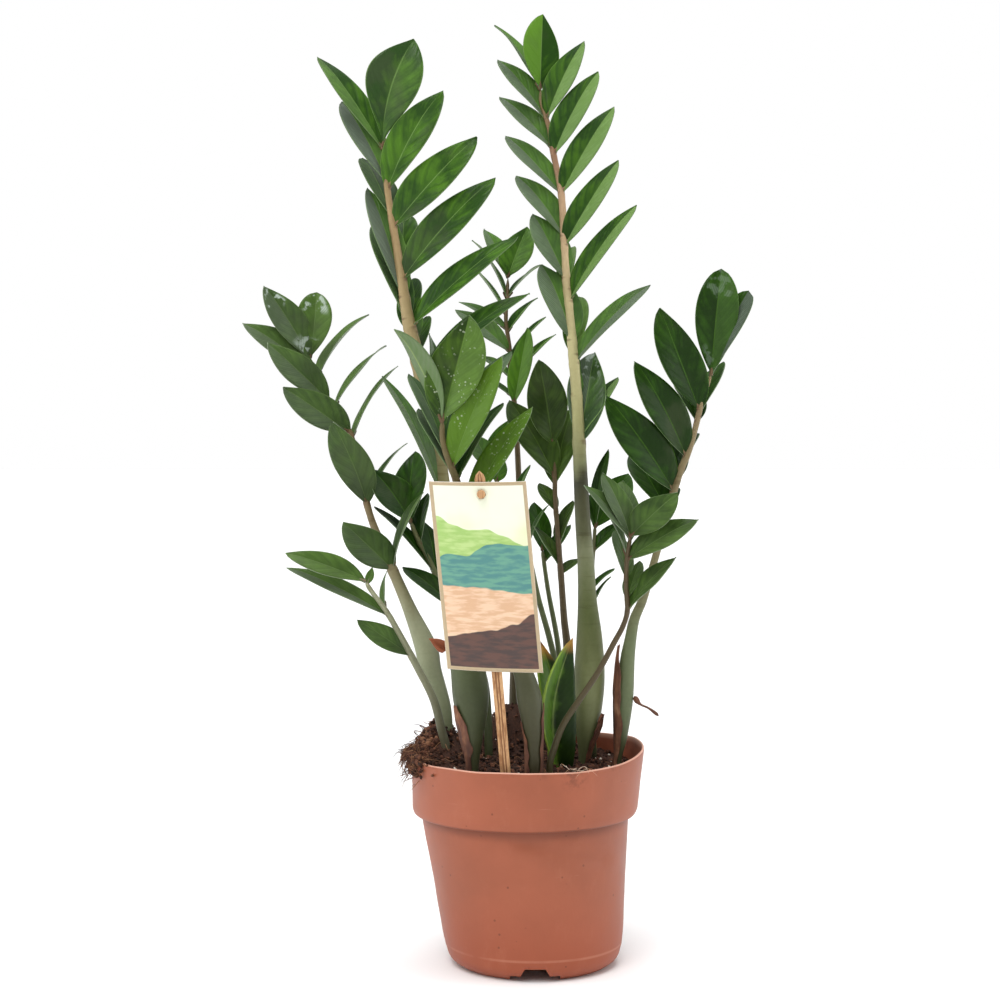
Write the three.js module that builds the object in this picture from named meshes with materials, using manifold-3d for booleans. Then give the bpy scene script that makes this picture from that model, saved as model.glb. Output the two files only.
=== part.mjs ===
// Potted ZZ plant (Zamioculcas zamiifolia) in a thin plastic nursery pot, with a label on a stick.
// Millimetres, +Z up, the viewer looks along +Y. Every frond is one solid: stalk, leaflets and rhizome.

import * as THREE from 'three';
import { mergeVertices } from 'three/addons/utils/BufferGeometryUtils.js';
import Module from 'manifold-3d';

const wasm = await Module();
wasm.setup();

// ---------------------------------------------------------------------------------------------
// Driving dimensions
// ---------------------------------------------------------------------------------------------

const GAP = 0.35;                 // air between two pieces that touch on the real plant
const POT_PLACE = [27.25, -2.62]; // pot axis in the part's frame, so that the plant is centred on it
const EYE = [-21, -1500, 400];    // where the viewer stands; depth is added along this line of sight

// Pot: a thin wall, turned, then leaned and warped as the soft plastic is
const ROUND = 40;                 // sides of the round pieces
const RIM_HEIGHT = 153.4;
const RIM_RADIUS = 85.4;
const COLLAR_BOTTOM = 111;
const COLLAR_RADIUS = 82.2;
const BODY_TOP_RADIUS = 75.9;
const BODY_FOOT_RADIUS = 65.9;
const FOOT_RADIUS = 54;
const FOOT_WIDTH = 3.5;
const WALL = 1.2;
const FLOOR_UNDERSIDE = 12.2;
const FLOOR_TOP = 13.4;
const RIM_LIFT = 7.5;             // the lip is raised this much at its right side
const RIM_LIFT_BEARING = 20;      // degrees from +X towards +Y
const DRAIN_COUNT = 6;
const DRAIN_RADIUS = 5.5;
const DRAIN_CIRCLE = 38;
const NOTCH_COUNT = 3;
const NOTCH_WIDTH = 22;           // arched notch in the foot ring
const NOTCH_TOP_WIDTH = 15;
const NOTCH_HEIGHT = 11.2;
const STEP_WIDTH = 37;            // the ring is raised a little on both sides of the notch
const STEP_HEIGHT = 4.6;

// Soil
const SOIL_LEVEL = 146.5;
const SOIL_EDGE = 81.7;
const SOIL_WALL_TOP = 138;        // the soil's wall is upright from here up
const SOIL_RINGS = 5;
const SOIL_TURNED_TOP = 200;      // the top is turned flat at this height, and then takes its own shape
const STALK_CUT_TOP = 210;        // above the highest mound
const MOUNDS = [                  // x, y, height, half width, half depth
  [-65, 14, 30, 18, 30],
  [-10, 54, 36, 32, 20],
  [62, 10, -4, 25, 40],
];

// Leaflets
const BLADE_STATIONS = [0.05, 0.22, 0.44, 0.66, 0.86];
const SHORT_BLADE = 48;           // blades shorter than this have one station less
const SHORT_STATIONS = [0.06, 0.3, 0.58, 0.83];
const RIB_HALF = 0.55;            // half thickness of a blade at its midrib
const ROOT_HALF = 1.1;            // extra half thickness where it joins the stalk
const FOLD = 20;                  // each half of a blade rises from the midrib, degrees
const ARCH = 0.045;               // rise of the midrib over its chord, as a share of the length
const ROOT_WIDTH = 3.2;
const ROOT_POWER = 0.85;          // the outline is round at the root and more pointed at the tip
const TIP_POWER = 0.95;
const STALK_SIDES = 8;
const THIN_STALK_SIDES = 6;
const THIN_STALK = 7;             // a stalk that is nowhere thicker than this, in radius, above the soil
const LEAN_POWER = 1.6;           // a stalk leans little near the soil and more towards its top
const RING_STEP = 11;             // least height between two rings of a stalk
const FOOT_POINT = 2;             // a stalk ends in a blunt point below its first ring
const TOP_POINT = 0.8;            // and above its last one

// Label
const CARD_WIDTH = 66.3;
const CARD_HEIGHT = 133.5;
const CARD_THICK = 0.8;
const CARD_LEAN = 5.8;            // degrees to the left
const CARD_TILT = 9.5;            // degrees forwards, as its stick
const CARD_CENTRE = [-29.7, -95, 291.5];
const CARD_BOW = 3.2;
const STICK_WIDTH = 7.3;
const STICK_THICK = 2.4;
const STICK_FOOT = [-13.2, -66, 113];
const STICK_TOP = [-34.5, -108, 364];
const PEG_RADIUS = 2.6;
const PEG_LENGTH = 8;
const PEG_FORWARD = 3.4;          // from the stick's middle to the peg's middle
const PEG_HEIGHT = 348;

// Fronds. A stalk is a list of [x, y, z, radius] from the rhizome up, and lean is how far its top then
// moves away from the viewer, along the line of sight.
// A leaflet is [height of its joint before the lean, right, up, back, width, turn]: right, up and back
// lead from the joint to the tip, and turn rolls the blade about its midrib from facing the viewer (0) to
// facing right (90) or left (-90).
const FRONDS = {
  frond_tall_left: {
    colour: 0x4d7a2c,
    lean: -20,
    stalk: [
      [-35, -41, 100, 5], [-36, -43, 112, 12], [-37.5, -45, 126, 7], [-39.5, -47, 142, 4.2],
      [-39.6, -47, 155, 4.4], [-40.3, -46, 172, 7.8], [-41, -45, 200, 12.8], [-43.2, -44, 221, 12.4],
      [-47, -43, 242, 11], [-54, -40, 299, 7.6], [-62, -35, 355, 5.6], [-65, -33, 377, 5.3],
      [-79.4, -30, 441, 5], [-86, -28, 470, 4.3], [-94, -25, 520, 2.9], [-100, -22, 556, 2.3],
      [-104.5, -20, 594, 1.5],
    ],
    leaflets: [
      [594, 22, 75, -18, 40, 0], [592, -45, 66, 10, 26, 55], [568, -31, 58, 14, 30, 45],
      [543, -20, 43, 30, 28, 58], [485, -25, 79, 12, 28, 45], [470, -24, 68, 24, 28, 50],
      [454, -12, 45, 34, 26, 60], [563, 38, 70, -20, 34, -25], [536, 58, 64, -24, 34, -25],
      [498, 65, 73, -24, 32, -25], [464, 75, 66, -20, 30, -50], [428, 75, 62, -8, 28, -58],
      [499, 2, 47, 36, 26, -10], [461, 1, 39, 38, 22, -20], [441, 6, 32, 34, 20, -30],
      [400, 1, 60, 34, 22, 60], [338, -42, 92, -14, 22, 58],
    ],
  },
  frond_tall_right: {
    colour: 0x4f8230,
    lean: 45,
    stalk: [
      [37, 10, 100, 4.5], [38, 11, 112, 9.5], [39.5, 12, 126, 6], [41, 12, 140, 4.2],
      [42, 12, 152, 4.4], [44, 12, 177, 9.6], [45.6, 12, 207, 11.4], [45.6, 12, 236, 9.7],
      [44, 11, 266, 7], [42.7, 11, 295, 6.2], [40.5, 10, 325, 5.7], [39, 10, 354, 5.3],
      [36, 9, 413, 4.1], [32.3, 8, 457, 3.6], [29.3, 7, 486, 3.3], [27, 6, 514, 3],
      [24.2, 5, 563, 2.5], [17.6, 4, 596, 2.1], [15.4, 4, 610, 1.8], [9.5, 4, 629, 1.6],
      [8.8, 4, 640, 1.4],
    ],
    leaflets: [
      [639, 2, 55, -12, 29, 0], [638, -33, 49, 8, 22, 65], [616, -36, 46, 14, 23, 48],
      [595, -39, 40, 14, 23, 48], [563, -41, 44, 14, 23, 52], [532, -35, 46, 10, 27, 44],
      [501, -24, 49, 4, 31, 34], [456, -22, 57, 4, 34, 34], [416, -7, 42, 22, 20, 60],
      [617, 27, 58, -16, 26, -32], [591, 32, 62, -18, 28, -32], [563, 38, 65, -18, 27, -32],
      [525, 39, 64, -18, 26, -38], [484, 49, 73, -18, 25, -50], [440, 55, 59, -14, 24, -62],
      [493, 3, 33, 36, 18, -40], [446, 4, 44, 34, 22, -20], [381, 11, 68, 24, 33, -15],
      [383, 28, 48, 16, 22, -50],
    ],
  },
  frond_left: {
    colour: 0x55703f,
    lean: 40,
    stalk: [
      [-48, 9, 102, 4.5], [-50, 9, 113, 9.5], [-54, 10, 128, 5.5], [-57.5, 10, 143, 3.8],
      [-58.8, 10, 159, 3.8], [-62.5, 10, 185, 6.2], [-72, 10, 214, 8.4], [-77.2, 10, 229, 7.7],
      [-88.9, 10, 258, 4.6], [-97.8, 10, 284, 4], [-106.6, 10, 304, 3.3], [-116, 11, 328, 2.6],
      [-124, 11, 360, 2.3], [-130.8, 11, 389, 2], [-141.9, 11, 406, 1.8], [-155, 12, 429, 1.6],
      [-160.2, 12, 445, 1.4],
    ],
    leaflets: [
      [444, 5, 49, -6, 29, 0], [443, -34, 55, -16, 28, 25], [433, -53, 38, -18, 26, 40],
      [413, -45, 43, -22, 27, 25], [389, -49, 34, -26, 29, 20], [336, -25, 61, -24, 30, 10],
      [429, 38, 49, 20, 24, -105], [407, 38, 48, 22, 20, -92], [385, 33, 55, 24, 20, -92],
      [337, 29, 46, 28, 18, -90], [288, -36, 35, -24, 30, 15], [288, 21, 58, -24, 18, -70],
    ],
  },
  frond_low_left: {
    colour: 0x56763d,
    lean: -40,
    stalk: [
      [-56, -12, 120, 3], [-57, -11, 128, 5.5], [-58.6, -10, 142, 3], [-60.2, -10, 162, 3.2],
      [-62.4, -10, 170, 3.2], [-68.9, -10, 195, 3], [-80.5, -10, 218, 2.6], [-94.3, -10, 244, 2.2],
      [-103, -10, 259, 1.9], [-114.6, -10, 275, 1.6], [-118.2, -10, 281, 1.4],
    ],
    leaflets: [
      [281, -56, 21, -14, 20, 50], [279, 4, 12, 4, 7, 0], [256, -72, 36, -16, 19, 58],
      [260, 0, 28, 8, 12, -70], [227, -38, 26, -16, 20, 35],
    ],
  },
  frond_front: {
    colour: 0x4a7a2a,
    lean: -40,
    stalk: [
      [2, -50, 100, 5], [3, -52, 112, 10], [4, -55, 126, 6.5], [4, -57, 140, 5.6],
      [3.5, -58, 154, 5.6], [3.5, -58, 170, 5.8], [2, -59, 188, 7.6], [0.3, -60, 202, 8.8],
      [-4.2, -60, 221, 6.9], [-16, -60, 251, 5.4], [-28.7, -60, 286, 4.2], [-40.6, -60, 321, 3.2],
      [-51, -61, 356, 2.5], [-55.2, -61, 367, 2.3], [-60.4, -62, 384, 2], [-60.8, -62, 399, 1.6],
    ],
    leaflets: [
      [398, 18, 71, -20, 42, -8], [397, -31, 64, -26, 28, 125], [364, 33, 77, -22, 22, -35],
      [371, -26, 59, 14, 24, 50], [357, -25, 49, 16, 26, 50], [332, 44, 75, 14, 20, -45],
      [376, 44, 70, -10, 24, -40], [356, 31, 54, 16, 24, -60],
    ],
  },
  frond_dark_left: {
    colour: 0x33511f,
    lean: 18,
    stalk: [
      [-26, 17, 118, 3], [-27, 17, 128, 6], [-28.5, 18, 142, 3], [-28.8, 18, 152, 3.1],
      [-29.6, 18, 180, 3.1], [-32.5, 18, 206, 3], [-41.4, 18, 232, 2.8], [-54, 18, 258, 2.6],
      [-68, 18, 284, 2.3], [-74.6, 18, 298, 2], [-79.8, 18, 307, 1.8], [-87, 18, 324, 1.5],
    ],
    leaflets: [
      [323, 3, 53, 8, 30, -20], [322, -29, 41, -2, 32, 30], [307, 5, 38, 14, 20, -50],
      [283, -45, 53, 10, 20, 68], [258, -38, 32, -8, 22, 50], [284, -8, 40, 16, 20, 30],
    ],
  },
  frond_dark_centre: {
    colour: 0x33511f,
    lean: 20,
    stalk: [
      [21, 31, 118, 3], [22, 31, 128, 6], [23, 32, 142, 3], [23.9, 32, 152, 3.2],
      [28.3, 32, 189, 3.3], [29.8, 32, 227, 3], [27.6, 32, 249, 2.6], [25.4, 32, 279, 2.3],
      [23.1, 32, 309, 2], [20.9, 32, 338, 1.8], [20.1, 32, 368, 1.6], [18.6, 32, 381, 1.5],
    ],
    leaflets: [
      [380, -10, 63, -26, 34, 8], [355, -34, 59, 8, 32, 20], [350, 14, 60, 20, 30, -20],
      [330, -12, 22, 14, 14, 30], [305, 10, 34, 14, 16, -50], [288, -19, 32, 12, 14, 55],
      [283, 13, 12, 8, 11, -50],
    ],
  },
  frond_back: {
    colour: 0x45752b,
    lean: 70,
    stalk: [
      [-9, 53, 118, 3], [-9.5, 54, 128, 6], [-10, 55, 146, 3.4], [-10, 55, 186, 3.5],
      [-7.6, 55, 262, 3], [-6, 55, 338, 2.4], [-7.6, 55, 383, 2.1], [-9.8, 55, 413, 1.9],
      [-12.9, 55, 436, 1.7], [-12.9, 55, 451, 1.6], [-15.9, 55, 472, 1.5], [-15.1, 55, 489, 1.4],
      [-14.4, 55, 506, 1.3],
    ],
    leaflets: [
      [506, 15, 39, -10, 28, -10], [505, -18, 39, 8, 20, 35], [489, -26, 47, 10, 16, 84],
      [477, -33, 45, 12, 16, 84], [466, -37, 23, 10, 16, 62], [449, -42, 34, -14, 20, 35],
      [430, -23, 17, -10, 14, 60], [415, -33, 20, 10, 12, 70], [490, 27, 27, 10, 16, -84],
      [464, 23, 28, 10, 16, -68], [440, 27, 38, 8, 16, -72], [425, 33, 40, 6, 16, -70],
      [411, 2, 58, -16, 18, -25],
    ],
  },
  frond_shoot_pale: {
    colour: 0x6d8f4a,
    lean: 18,
    stalk: [
      [25, 48, 122, 2.6], [25.4, 49, 136, 2.4], [25.6, 50, 152, 2.4], [23, 50, 205, 2.4],
      [17.3, 49, 232, 2.3], [9, 48, 262, 2.1], [0, 47, 300, 1.9], [-12, 46, 330, 1.6],
      [-28, 45, 362, 1.4],
    ],
    leaflets: [
      [361, 14, 38, 4, 20, -25], [360, -14, 28, 0, 22, 25], [352, 4, 20, -6, 14, 0],
      [327, 12, 38, -2, 14, -60], [300, 16, 36, -2, 12, -80],
    ],
  },
  frond_shoot_dark: {
    colour: 0x3c5c26,
    lean: 30,
    stalk: [
      [29, 62, 122, 2.4], [29, 61, 138, 2.2], [28.5, 60, 152, 2.3], [24, 58, 224, 2.1],
      [15.9, 57, 270, 1.8], [11.6, 56, 300, 1.4],
    ],
    leaflets: [
      [299, -6, 38, 8, 20, 15], [290, 20, 30, 6, 14, -45],
    ],
  },
  frond_low_right: {
    colour: 0x4d7a2c,
    lean: -45,
    stalk: [
      [16.5, -50, 127, 3], [15.8, -51, 138, 2.6], [14.8, -52, 153, 2.4], [16.9, -51, 162, 2.4],
      [24, -48, 181, 2.3], [35.4, -43, 198, 2.2], [48.9, -38, 217, 2.1], [61.9, -34, 240, 2],
      [67.6, -31, 250, 1.9], [71, -29, 261, 1.8], [70.2, -27, 280, 1.7], [70.9, -26, 299, 1.5],
      [73.6, -25, 315, 1.3],
    ],
    leaflets: [
      [315, 32, 30, -18, 26, -15], [314, -19, 45, -8, 20, 30], [313, -31, 38, -16, 18, 50],
      [312, -5, 42, 20, 22, 10], [298, 49, 29, -22, 24, -40], [300, -21, 42, 6, 16, 75],
      [285, -7, 34, 14, 18, 40], [262, 33, 38, -14, 20, -55], [270, 9, 27, 10, 14, -30],
    ],
  },
  frond_small_right: {
    colour: 0x3f6526,
    lean: 40,
    stalk: [
      [49, 37, 124, 2.4], [49.6, 36, 138, 2.2], [50, 35, 152, 2.2], [46.5, 34, 190, 2.1],
      [47.7, 33, 234, 2], [48.4, 32, 283, 1.6], [50.6, 31, 320, 1.3],
    ],
    leaflets: [
      [319, -5, 25, 4, 12, 20], [318, 25, 42, 8, 30, -20], [300, 21, 24, 4, 14, -50],
      [272, 17, 16, 4, 10, -70], [258, 14, 24, 6, 9, -75], [318, 9, 60, -4, 14, -42],
    ],
  },
  frond_right: {
    colour: 0x3c6022,
    lean: -30,
    stalk: [
      [57, 4, 102, 4.5], [58, 4, 113, 9], [61.5, 5, 127, 5], [65.5, 5, 142, 2.8],
      [67.4, 5, 153, 2.8], [68.8, 5, 164, 4.4], [71, 5, 193, 6.6], [73.2, 4, 222, 5.4],
      [75.4, 4, 237, 4.4], [78.3, 4, 252, 3.8], [84.1, 3, 266, 3.3], [92.9, 2, 296, 2.7],
      [106.6, 1, 346, 2.6], [111.7, 0, 362, 2.5], [118.3, 0, 378, 2.2], [123.4, -1, 398, 2],
      [127, -2, 413, 1.8], [130.7, -2, 424, 1.6], [133.6, -2, 433, 1.4],
    ],
    leaflets: [
      [432, 7, 74, -16, 34, -3], [431, 30, 59, -30, 28, -58], [405, -28, 73, -20, 34, 12],
      [371, -36, 69, -24, 31, 20], [346, -48, 69, -26, 35, 15], [400, 17, 41, 26, 22, -50],
      [397, -13, 32, 30, 24, 30], [354, -12, 47, 28, 26, 30], [363, 11, 26, 24, 16, -60],
      [330, -26, 44, 22, 30, 30], [329, 8, 20, 16, 11, -50],
    ],
  },
};

// Young leaves that stand alone: foot below the soil, then the blade as in the table above
const YOUNG_LEAVES = {
  leaf_young: { colour: 0x5f8a34, foot: [13, 3, 132], blade: [-2, 103, -4, 19, 10] },
  leaf_folded: { colour: 0x5b8f2c, foot: [18, -13, 132], blade: [15, 108, 2, 24, 28] },
};

// Papery sheaths wrapped on a stalk: stalk, from height, to height, bearing it faces, span, in degrees
const SHEATHS = {
  sheath_tall_left: { on: 'frond_tall_left', from: 140, to: 206, bearing: 210, span: 110 },
  sheath_left: { on: 'frond_left', from: 226, to: 246, bearing: 300, span: 90 },
  sheath_front_left: { on: 'frond_front', from: 140, to: 196, bearing: 200, span: 95 },
  sheath_front_right: { on: 'frond_front', from: 140, to: 190, bearing: -15, span: 80 },
  sheath_right: { on: 'frond_right', from: 140, to: 232, bearing: 205, span: 110 },
  sheath_tall_right: { on: 'frond_tall_right', from: 140, to: 178, bearing: -35, span: 70 },
};
const SHEATH_THICK = 0.9;
const SHEATH_GAP = 1.2;           // from the corners of the stalk, so that it clears their chords
const DRY_STUB = [[96, -4, 182, 1.5], [88, -2, 187.5, 1.1], [81.5, 0, 191, 1.2], [78.2, 1, 196, 1.3]];

// ---------------------------------------------------------------------------------------------
// Solids
// ---------------------------------------------------------------------------------------------

// A closed three.js geometry as a solid, with shared vertices merged and collapsed triangles dropped
function solidOf(geometry) {
  const bare = geometry.clone();
  bare.deleteAttribute('normal');
  bare.deleteAttribute('uv');
  const welded = mergeVertices(bare, 1e-3);
  const corner = welded.index.array;
  const triVerts = [];
  for (let i = 0; i < corner.length; i += 3) {
    const [a, b, c] = [corner[i], corner[i + 1], corner[i + 2]];
    if (a !== b && b !== c && c !== a) triVerts.push(a, b, c);
  }
  const mesh = new wasm.Mesh({
    numProp: 3,
    vertProperties: Float32Array.from(welded.attributes.position.array),
    triVerts: Uint32Array.from(triVerts),
  });
  return new wasm.Manifold(mesh);
}

function geometryOf(solid) {
  const { vertProperties, triVerts } = solid.getMesh();
  const geometry = new THREE.BufferGeometry();
  geometry.setAttribute('position', new THREE.BufferAttribute(vertProperties, 3));
  geometry.setIndex(new THREE.BufferAttribute(triVerts, 1));
  geometry.computeVertexNormals();
  return geometry;
}

// Skin over a row of closed rings. The ends are points where given, and otherwise a strip across the
// ring. The second half of a ring has its diagonals mirrored, so that both faces of a thin sheet agree.
function loft(rings, start, end) {
  const sides = rings[0].length;
  const vertices = rings.flat();
  const index = [];
  for (let row = 0; row + 1 < rings.length; row += 1) {
    for (let side = 0; side < sides; side += 1) {
      const next = (side + 1) % sides;
      const [a, b] = [row * sides + side, row * sides + next];
      const [d, c] = [a + sides, b + sides];
      if (side < sides / 2) index.push(a, b, c, a, c, d);
      else index.push(a, b, d, b, c, d);
    }
  }
  const last = (rings.length - 1) * sides;
  if (start) {
    const [foot, head] = [vertices.push(start) - 1, vertices.push(end) - 1];
    for (let side = 0; side < sides; side += 1) {
      const next = (side + 1) % sides;
      index.push(foot, next, side, head, last + side, last + next);
    }
  } else {
    for (let side = 0; side + 1 < sides / 2; side += 1) {
      const [far, farNext] = [sides - 1 - side, sides - 2 - side];
      index.push(side, farNext, side + 1, side, far, farNext);
      index.push(last + side, last + side + 1, last + farNext, last + side, last + farNext, last + far);
    }
  }
  const geometry = new THREE.BufferGeometry().setFromPoints(vertices);
  geometry.setIndex(index);
  return geometry;
}

// Moves a point away from the viewer along the line of sight, so that the front view stays as it is
function pushBack(point, depth) {
  const sight = point.clone().sub(new THREE.Vector3(...EYE));
  return point.clone().addScaledVector(sight, depth / sight.y);
}

// A stalk's centre line and radius, found by height
class Stalk {
  constructor(wayPoints, lean = 0, step = RING_STEP) {
    this.lean = lean;
    this.uprightTop = wayPoints.at(-1)[2];
    const kept = wayPoints.filter(([, , z], i) => (
      i === 0 || z === this.uprightTop || z - wayPoints[i - 1][2] >= step
    ));
    const rows = kept.map(([x, y, z, radius]) => [...this.leant(x, y, z).toArray(), radius]);
    this.rows = rows;
    const centres = rows.map(([x, y, z]) => new THREE.Vector3(x, y, z));
    this.curve = new THREE.CatmullRomCurve3(centres, false, 'centripetal');
    this.foot = rows[0][2];
    this.top = rows.at(-1)[2];
    const thickest = Math.max(...rows.filter((row) => row[2] > SOIL_LEVEL).map((row) => row[3]));
    this.sides = thickest > THIN_STALK ? STALK_SIDES : THIN_STALK_SIDES;
  }

  // Where a point of the upright stalk comes to lie once the stalk leans
  leant(x, y, z) {
    const share = Math.max(0, (z - SOIL_LEVEL) / (this.uprightTop - SOIL_LEVEL));
    return pushBack(new THREE.Vector3(x, y, z), this.lean * share ** LEAN_POWER);
  }

  // Middle of the leaning stalk at the joint of a leaflet, from its height on the upright stalk
  joint(height) {
    return this.at(this.leant(0, 0, height).z);
  }

  at(height) {
    let [low, high] = [0, 1];
    for (let step = 0; step < 24; step += 1) {
      const middle = (low + high) / 2;
      if (this.curve.getPoint(middle).z < height) low = middle;
      else high = middle;
    }
    return this.curve.getPoint((low + high) / 2);
  }

  radius(height) {
    const above = this.rows.findIndex((row) => row[2] > height);
    if (above < 0) return this.rows.at(-1)[3];
    if (above === 0) return this.rows[0][3];
    const [low, high] = [this.rows[above - 1], this.rows[above]];
    return THREE.MathUtils.mapLinear(height, low[2], high[2], low[3], high[3]);
  }

  // A ring of points round the centre line, square to it
  ring(height, radius) {
    const centre = this.at(height);
    const along = this.at(height + 1).sub(this.at(height - 1)).normalize();
    const across = new THREE.Vector3(1, 0, 0).addScaledVector(along, -along.x).normalize();
    const deep = along.clone().cross(across);
    return Array.from({ length: this.sides }, (_, side) => {
      const turn = (side / this.sides) * Math.PI * 2;
      return centre.clone()
        .addScaledVector(across, radius * Math.cos(turn))
        .addScaledVector(deep, radius * Math.sin(turn));
    });
  }

  // Skin with a ring at each way-point, up to the first one above a height
  solid(grow = 0, top = this.top) {
    const count = this.rows.findIndex((row) => row[2] >= top) + 1;
    const heights = this.rows.slice(0, count).map((row) => row[2]);
    const rings = heights.map((z) => this.ring(z, this.radius(z) + grow));
    const start = this.at(this.foot);
    const end = this.at(heights.at(-1));
    start.z -= FOOT_POINT + grow;
    end.z += TOP_POINT + grow;
    return solidOf(loft(rings, start, end));
  }
}

// Width of a blade along its midrib, as a share of its full width
function bladeShape(t) {
  const widest = ROOT_POWER / (ROOT_POWER + TIP_POWER);
  const curve = (at) => at ** ROOT_POWER * (1 - at) ** TIP_POWER;
  return curve(t) / curve(widest);
}

// A folded, arched blade from its joint to its tip
function blade(joint, [right, up, back, width, turn], grow = 0) {
  const reach = pushBack(joint.clone().add(new THREE.Vector3(right, 0, up)), back).sub(joint);
  const length = reach.length();
  const along = reach.clone().normalize();
  const facing = new THREE.Vector3(0, -1, 0).addScaledVector(along, along.y).normalize();
  facing.applyAxisAngle(along, THREE.MathUtils.degToRad(turn));
  const across = along.clone().cross(facing);
  const fold = THREE.MathUtils.degToRad(FOLD);
  const stations = length < SHORT_BLADE ? SHORT_STATIONS : BLADE_STATIONS;
  const rings = stations.map((t) => {
    const centre = joint.clone()
      .addScaledVector(along, length * t)
      .addScaledVector(facing, ARCH * length * 4 * t * (1 - t));
    const half = Math.max(bladeShape(t) * width, ROOT_WIDTH) / 2 + grow;
    const thick = RIB_HALF + ROOT_HALF * (1 - t) ** 6 + grow;
    const edge = centre.clone().addScaledVector(facing, half * Math.sin(fold));
    return [
      edge.clone().addScaledVector(across, -half * Math.cos(fold)),
      centre.clone().addScaledVector(facing, thick),
      edge.clone().addScaledVector(across, half * Math.cos(fold)),
      centre.clone().addScaledVector(facing, -thick),
    ];
  });
  return solidOf(loft(rings, joint.clone().addScaledVector(along, -2 * grow), joint.clone().add(reach)));
}

// ---------------------------------------------------------------------------------------------
// Scene graph
// ---------------------------------------------------------------------------------------------

const plant = new THREE.Group();
plant.position.set(POT_PLACE[0], POT_PLACE[1], 0);

function addNode(name, solid, colour, roughness) {
  const material = new THREE.MeshStandardMaterial({ color: colour, roughness, metalness: 0 });
  const mesh = new THREE.Mesh(geometryOf(solid), material);
  mesh.name = name;
  plant.add(mesh);
}

// Pot ------------------------------------------------------------------------------------------

// Sideways place of the pot's centre at a height: the body leans to the right towards its foot
function potCentre(z) {
  if (z > COLLAR_BOTTOM) return THREE.MathUtils.mapLinear(z, COLLAR_BOTTOM, RIM_HEIGHT, -2.2, 0);
  return THREE.MathUtils.mapLinear(Math.max(z, 15), 15, COLLAR_BOTTOM, 4.5, -2.2);
}

// Turns a profile of [radius, height] about the pot's axis, then leans it and lifts the lip
function turned(profile, reshape) {
  const geometry = new THREE.LatheGeometry(profile.map(([r, z]) => new THREE.Vector2(r, z)), ROUND);
  geometry.rotateX(Math.PI / 2);
  const position = geometry.attributes.position;
  for (let i = 0; i < position.count; i += 1) {
    const place = new THREE.Vector3().fromBufferAttribute(position, i);
    reshape(place);
    place.x += potCentre(Math.min(place.z, RIM_HEIGHT));
    position.setXYZ(i, place.x, place.y, place.z);
  }
  return solidOf(geometry);
}

function liftLip(place) {
  if (place.z < COLLAR_BOTTOM + 4) return;
  const bearing = Math.atan2(place.y, place.x) - THREE.MathUtils.degToRad(RIM_LIFT_BEARING);
  const share = (place.z - COLLAR_BOTTOM - 4) / (RIM_HEIGHT - COLLAR_BOTTOM - 4);
  place.z += RIM_LIFT * share * Math.max(0, Math.cos(bearing)) ** 2;
}

const innerWall = [
  [63.8, FLOOR_TOP], [66.2, 33], [BODY_TOP_RADIUS - WALL, COLLAR_BOTTOM + 1.4],
  [77.5, COLLAR_BOTTOM + 2.2], [COLLAR_RADIUS - WALL, 116.5], [RIM_RADIUS - 1.8, RIM_HEIGHT - 0.4],
];
const potProfile = [
  [0, FLOOR_UNDERSIDE], [60.5, FLOOR_UNDERSIDE], [FOOT_RADIUS - FOOT_WIDTH, 1.8],
  [FOOT_RADIUS - FOOT_WIDTH, 0], [FOOT_RADIUS, 0], [58, 1.8], [63, 6.5], [BODY_FOOT_RADIUS, 18],
  [67.4, 33], [BODY_TOP_RADIUS, COLLAR_BOTTOM + 0.5], [79.5, COLLAR_BOTTOM], [COLLAR_RADIUS, 115.5],
  [RIM_RADIUS, RIM_HEIGHT - 1], [RIM_RADIUS - 0.6, RIM_HEIGHT], ...innerWall.toReversed(), [0, FLOOR_TOP],
];

// A slot through the foot ring: a trapezoid, wider at the floor, pushed outwards at a bearing
function footSlot(widthBelow, widthAbove, height, bearing) {
  const outline = new THREE.Shape([
    new THREE.Vector2(-widthBelow / 2, -1), new THREE.Vector2(widthBelow / 2, -1),
    new THREE.Vector2(widthAbove / 2, height), new THREE.Vector2(-widthAbove / 2, height),
  ]);
  const geometry = new THREE.ExtrudeGeometry(outline, { depth: 45, bevelEnabled: false });
  geometry.rotateX(Math.PI / 2).translate(0, -30, 0).rotateZ(bearing).translate(potCentre(0), 0, 0);
  return solidOf(geometry);
}

let pot = turned(potProfile, liftLip);
for (let notch = 0; notch < NOTCH_COUNT; notch += 1) {
  const bearing = (notch / NOTCH_COUNT) * Math.PI * 2;
  pot = pot.subtract(footSlot(NOTCH_WIDTH, NOTCH_TOP_WIDTH, NOTCH_HEIGHT, bearing));
  pot = pot.subtract(footSlot(STEP_WIDTH, STEP_WIDTH - 2, STEP_HEIGHT, bearing));
}
for (let hole = 0; hole < DRAIN_COUNT; hole += 1) {
  const bearing = ((hole + 0.5) / DRAIN_COUNT) * Math.PI * 2;
  const [x, y] = [DRAIN_CIRCLE * Math.cos(bearing), DRAIN_CIRCLE * Math.sin(bearing)];
  const drain = new THREE.CylinderGeometry(DRAIN_RADIUS, DRAIN_RADIUS, 6, 10).rotateX(Math.PI / 2);
  pot = pot.subtract(solidOf(drain.translate(potCentre(0) + x, y, FLOOR_TOP)));
}
addNode('pot', pot, 0xb87056, 0.55);

// Fronds ---------------------------------------------------------------------------------------

const stalks = {};
const fronds = {};
for (const [name, { stalk, lean, leaflets }] of Object.entries(FRONDS)) {
  stalks[name] = new Stalk(stalk, lean);
  fronds[name] = stalks[name].solid();
  for (const [height, ...shape] of leaflets) {
    fronds[name] = fronds[name].add(blade(stalks[name].joint(height), shape));
  }
  addNode(name, fronds[name], FRONDS[name].colour, 0.4);
}

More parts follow.
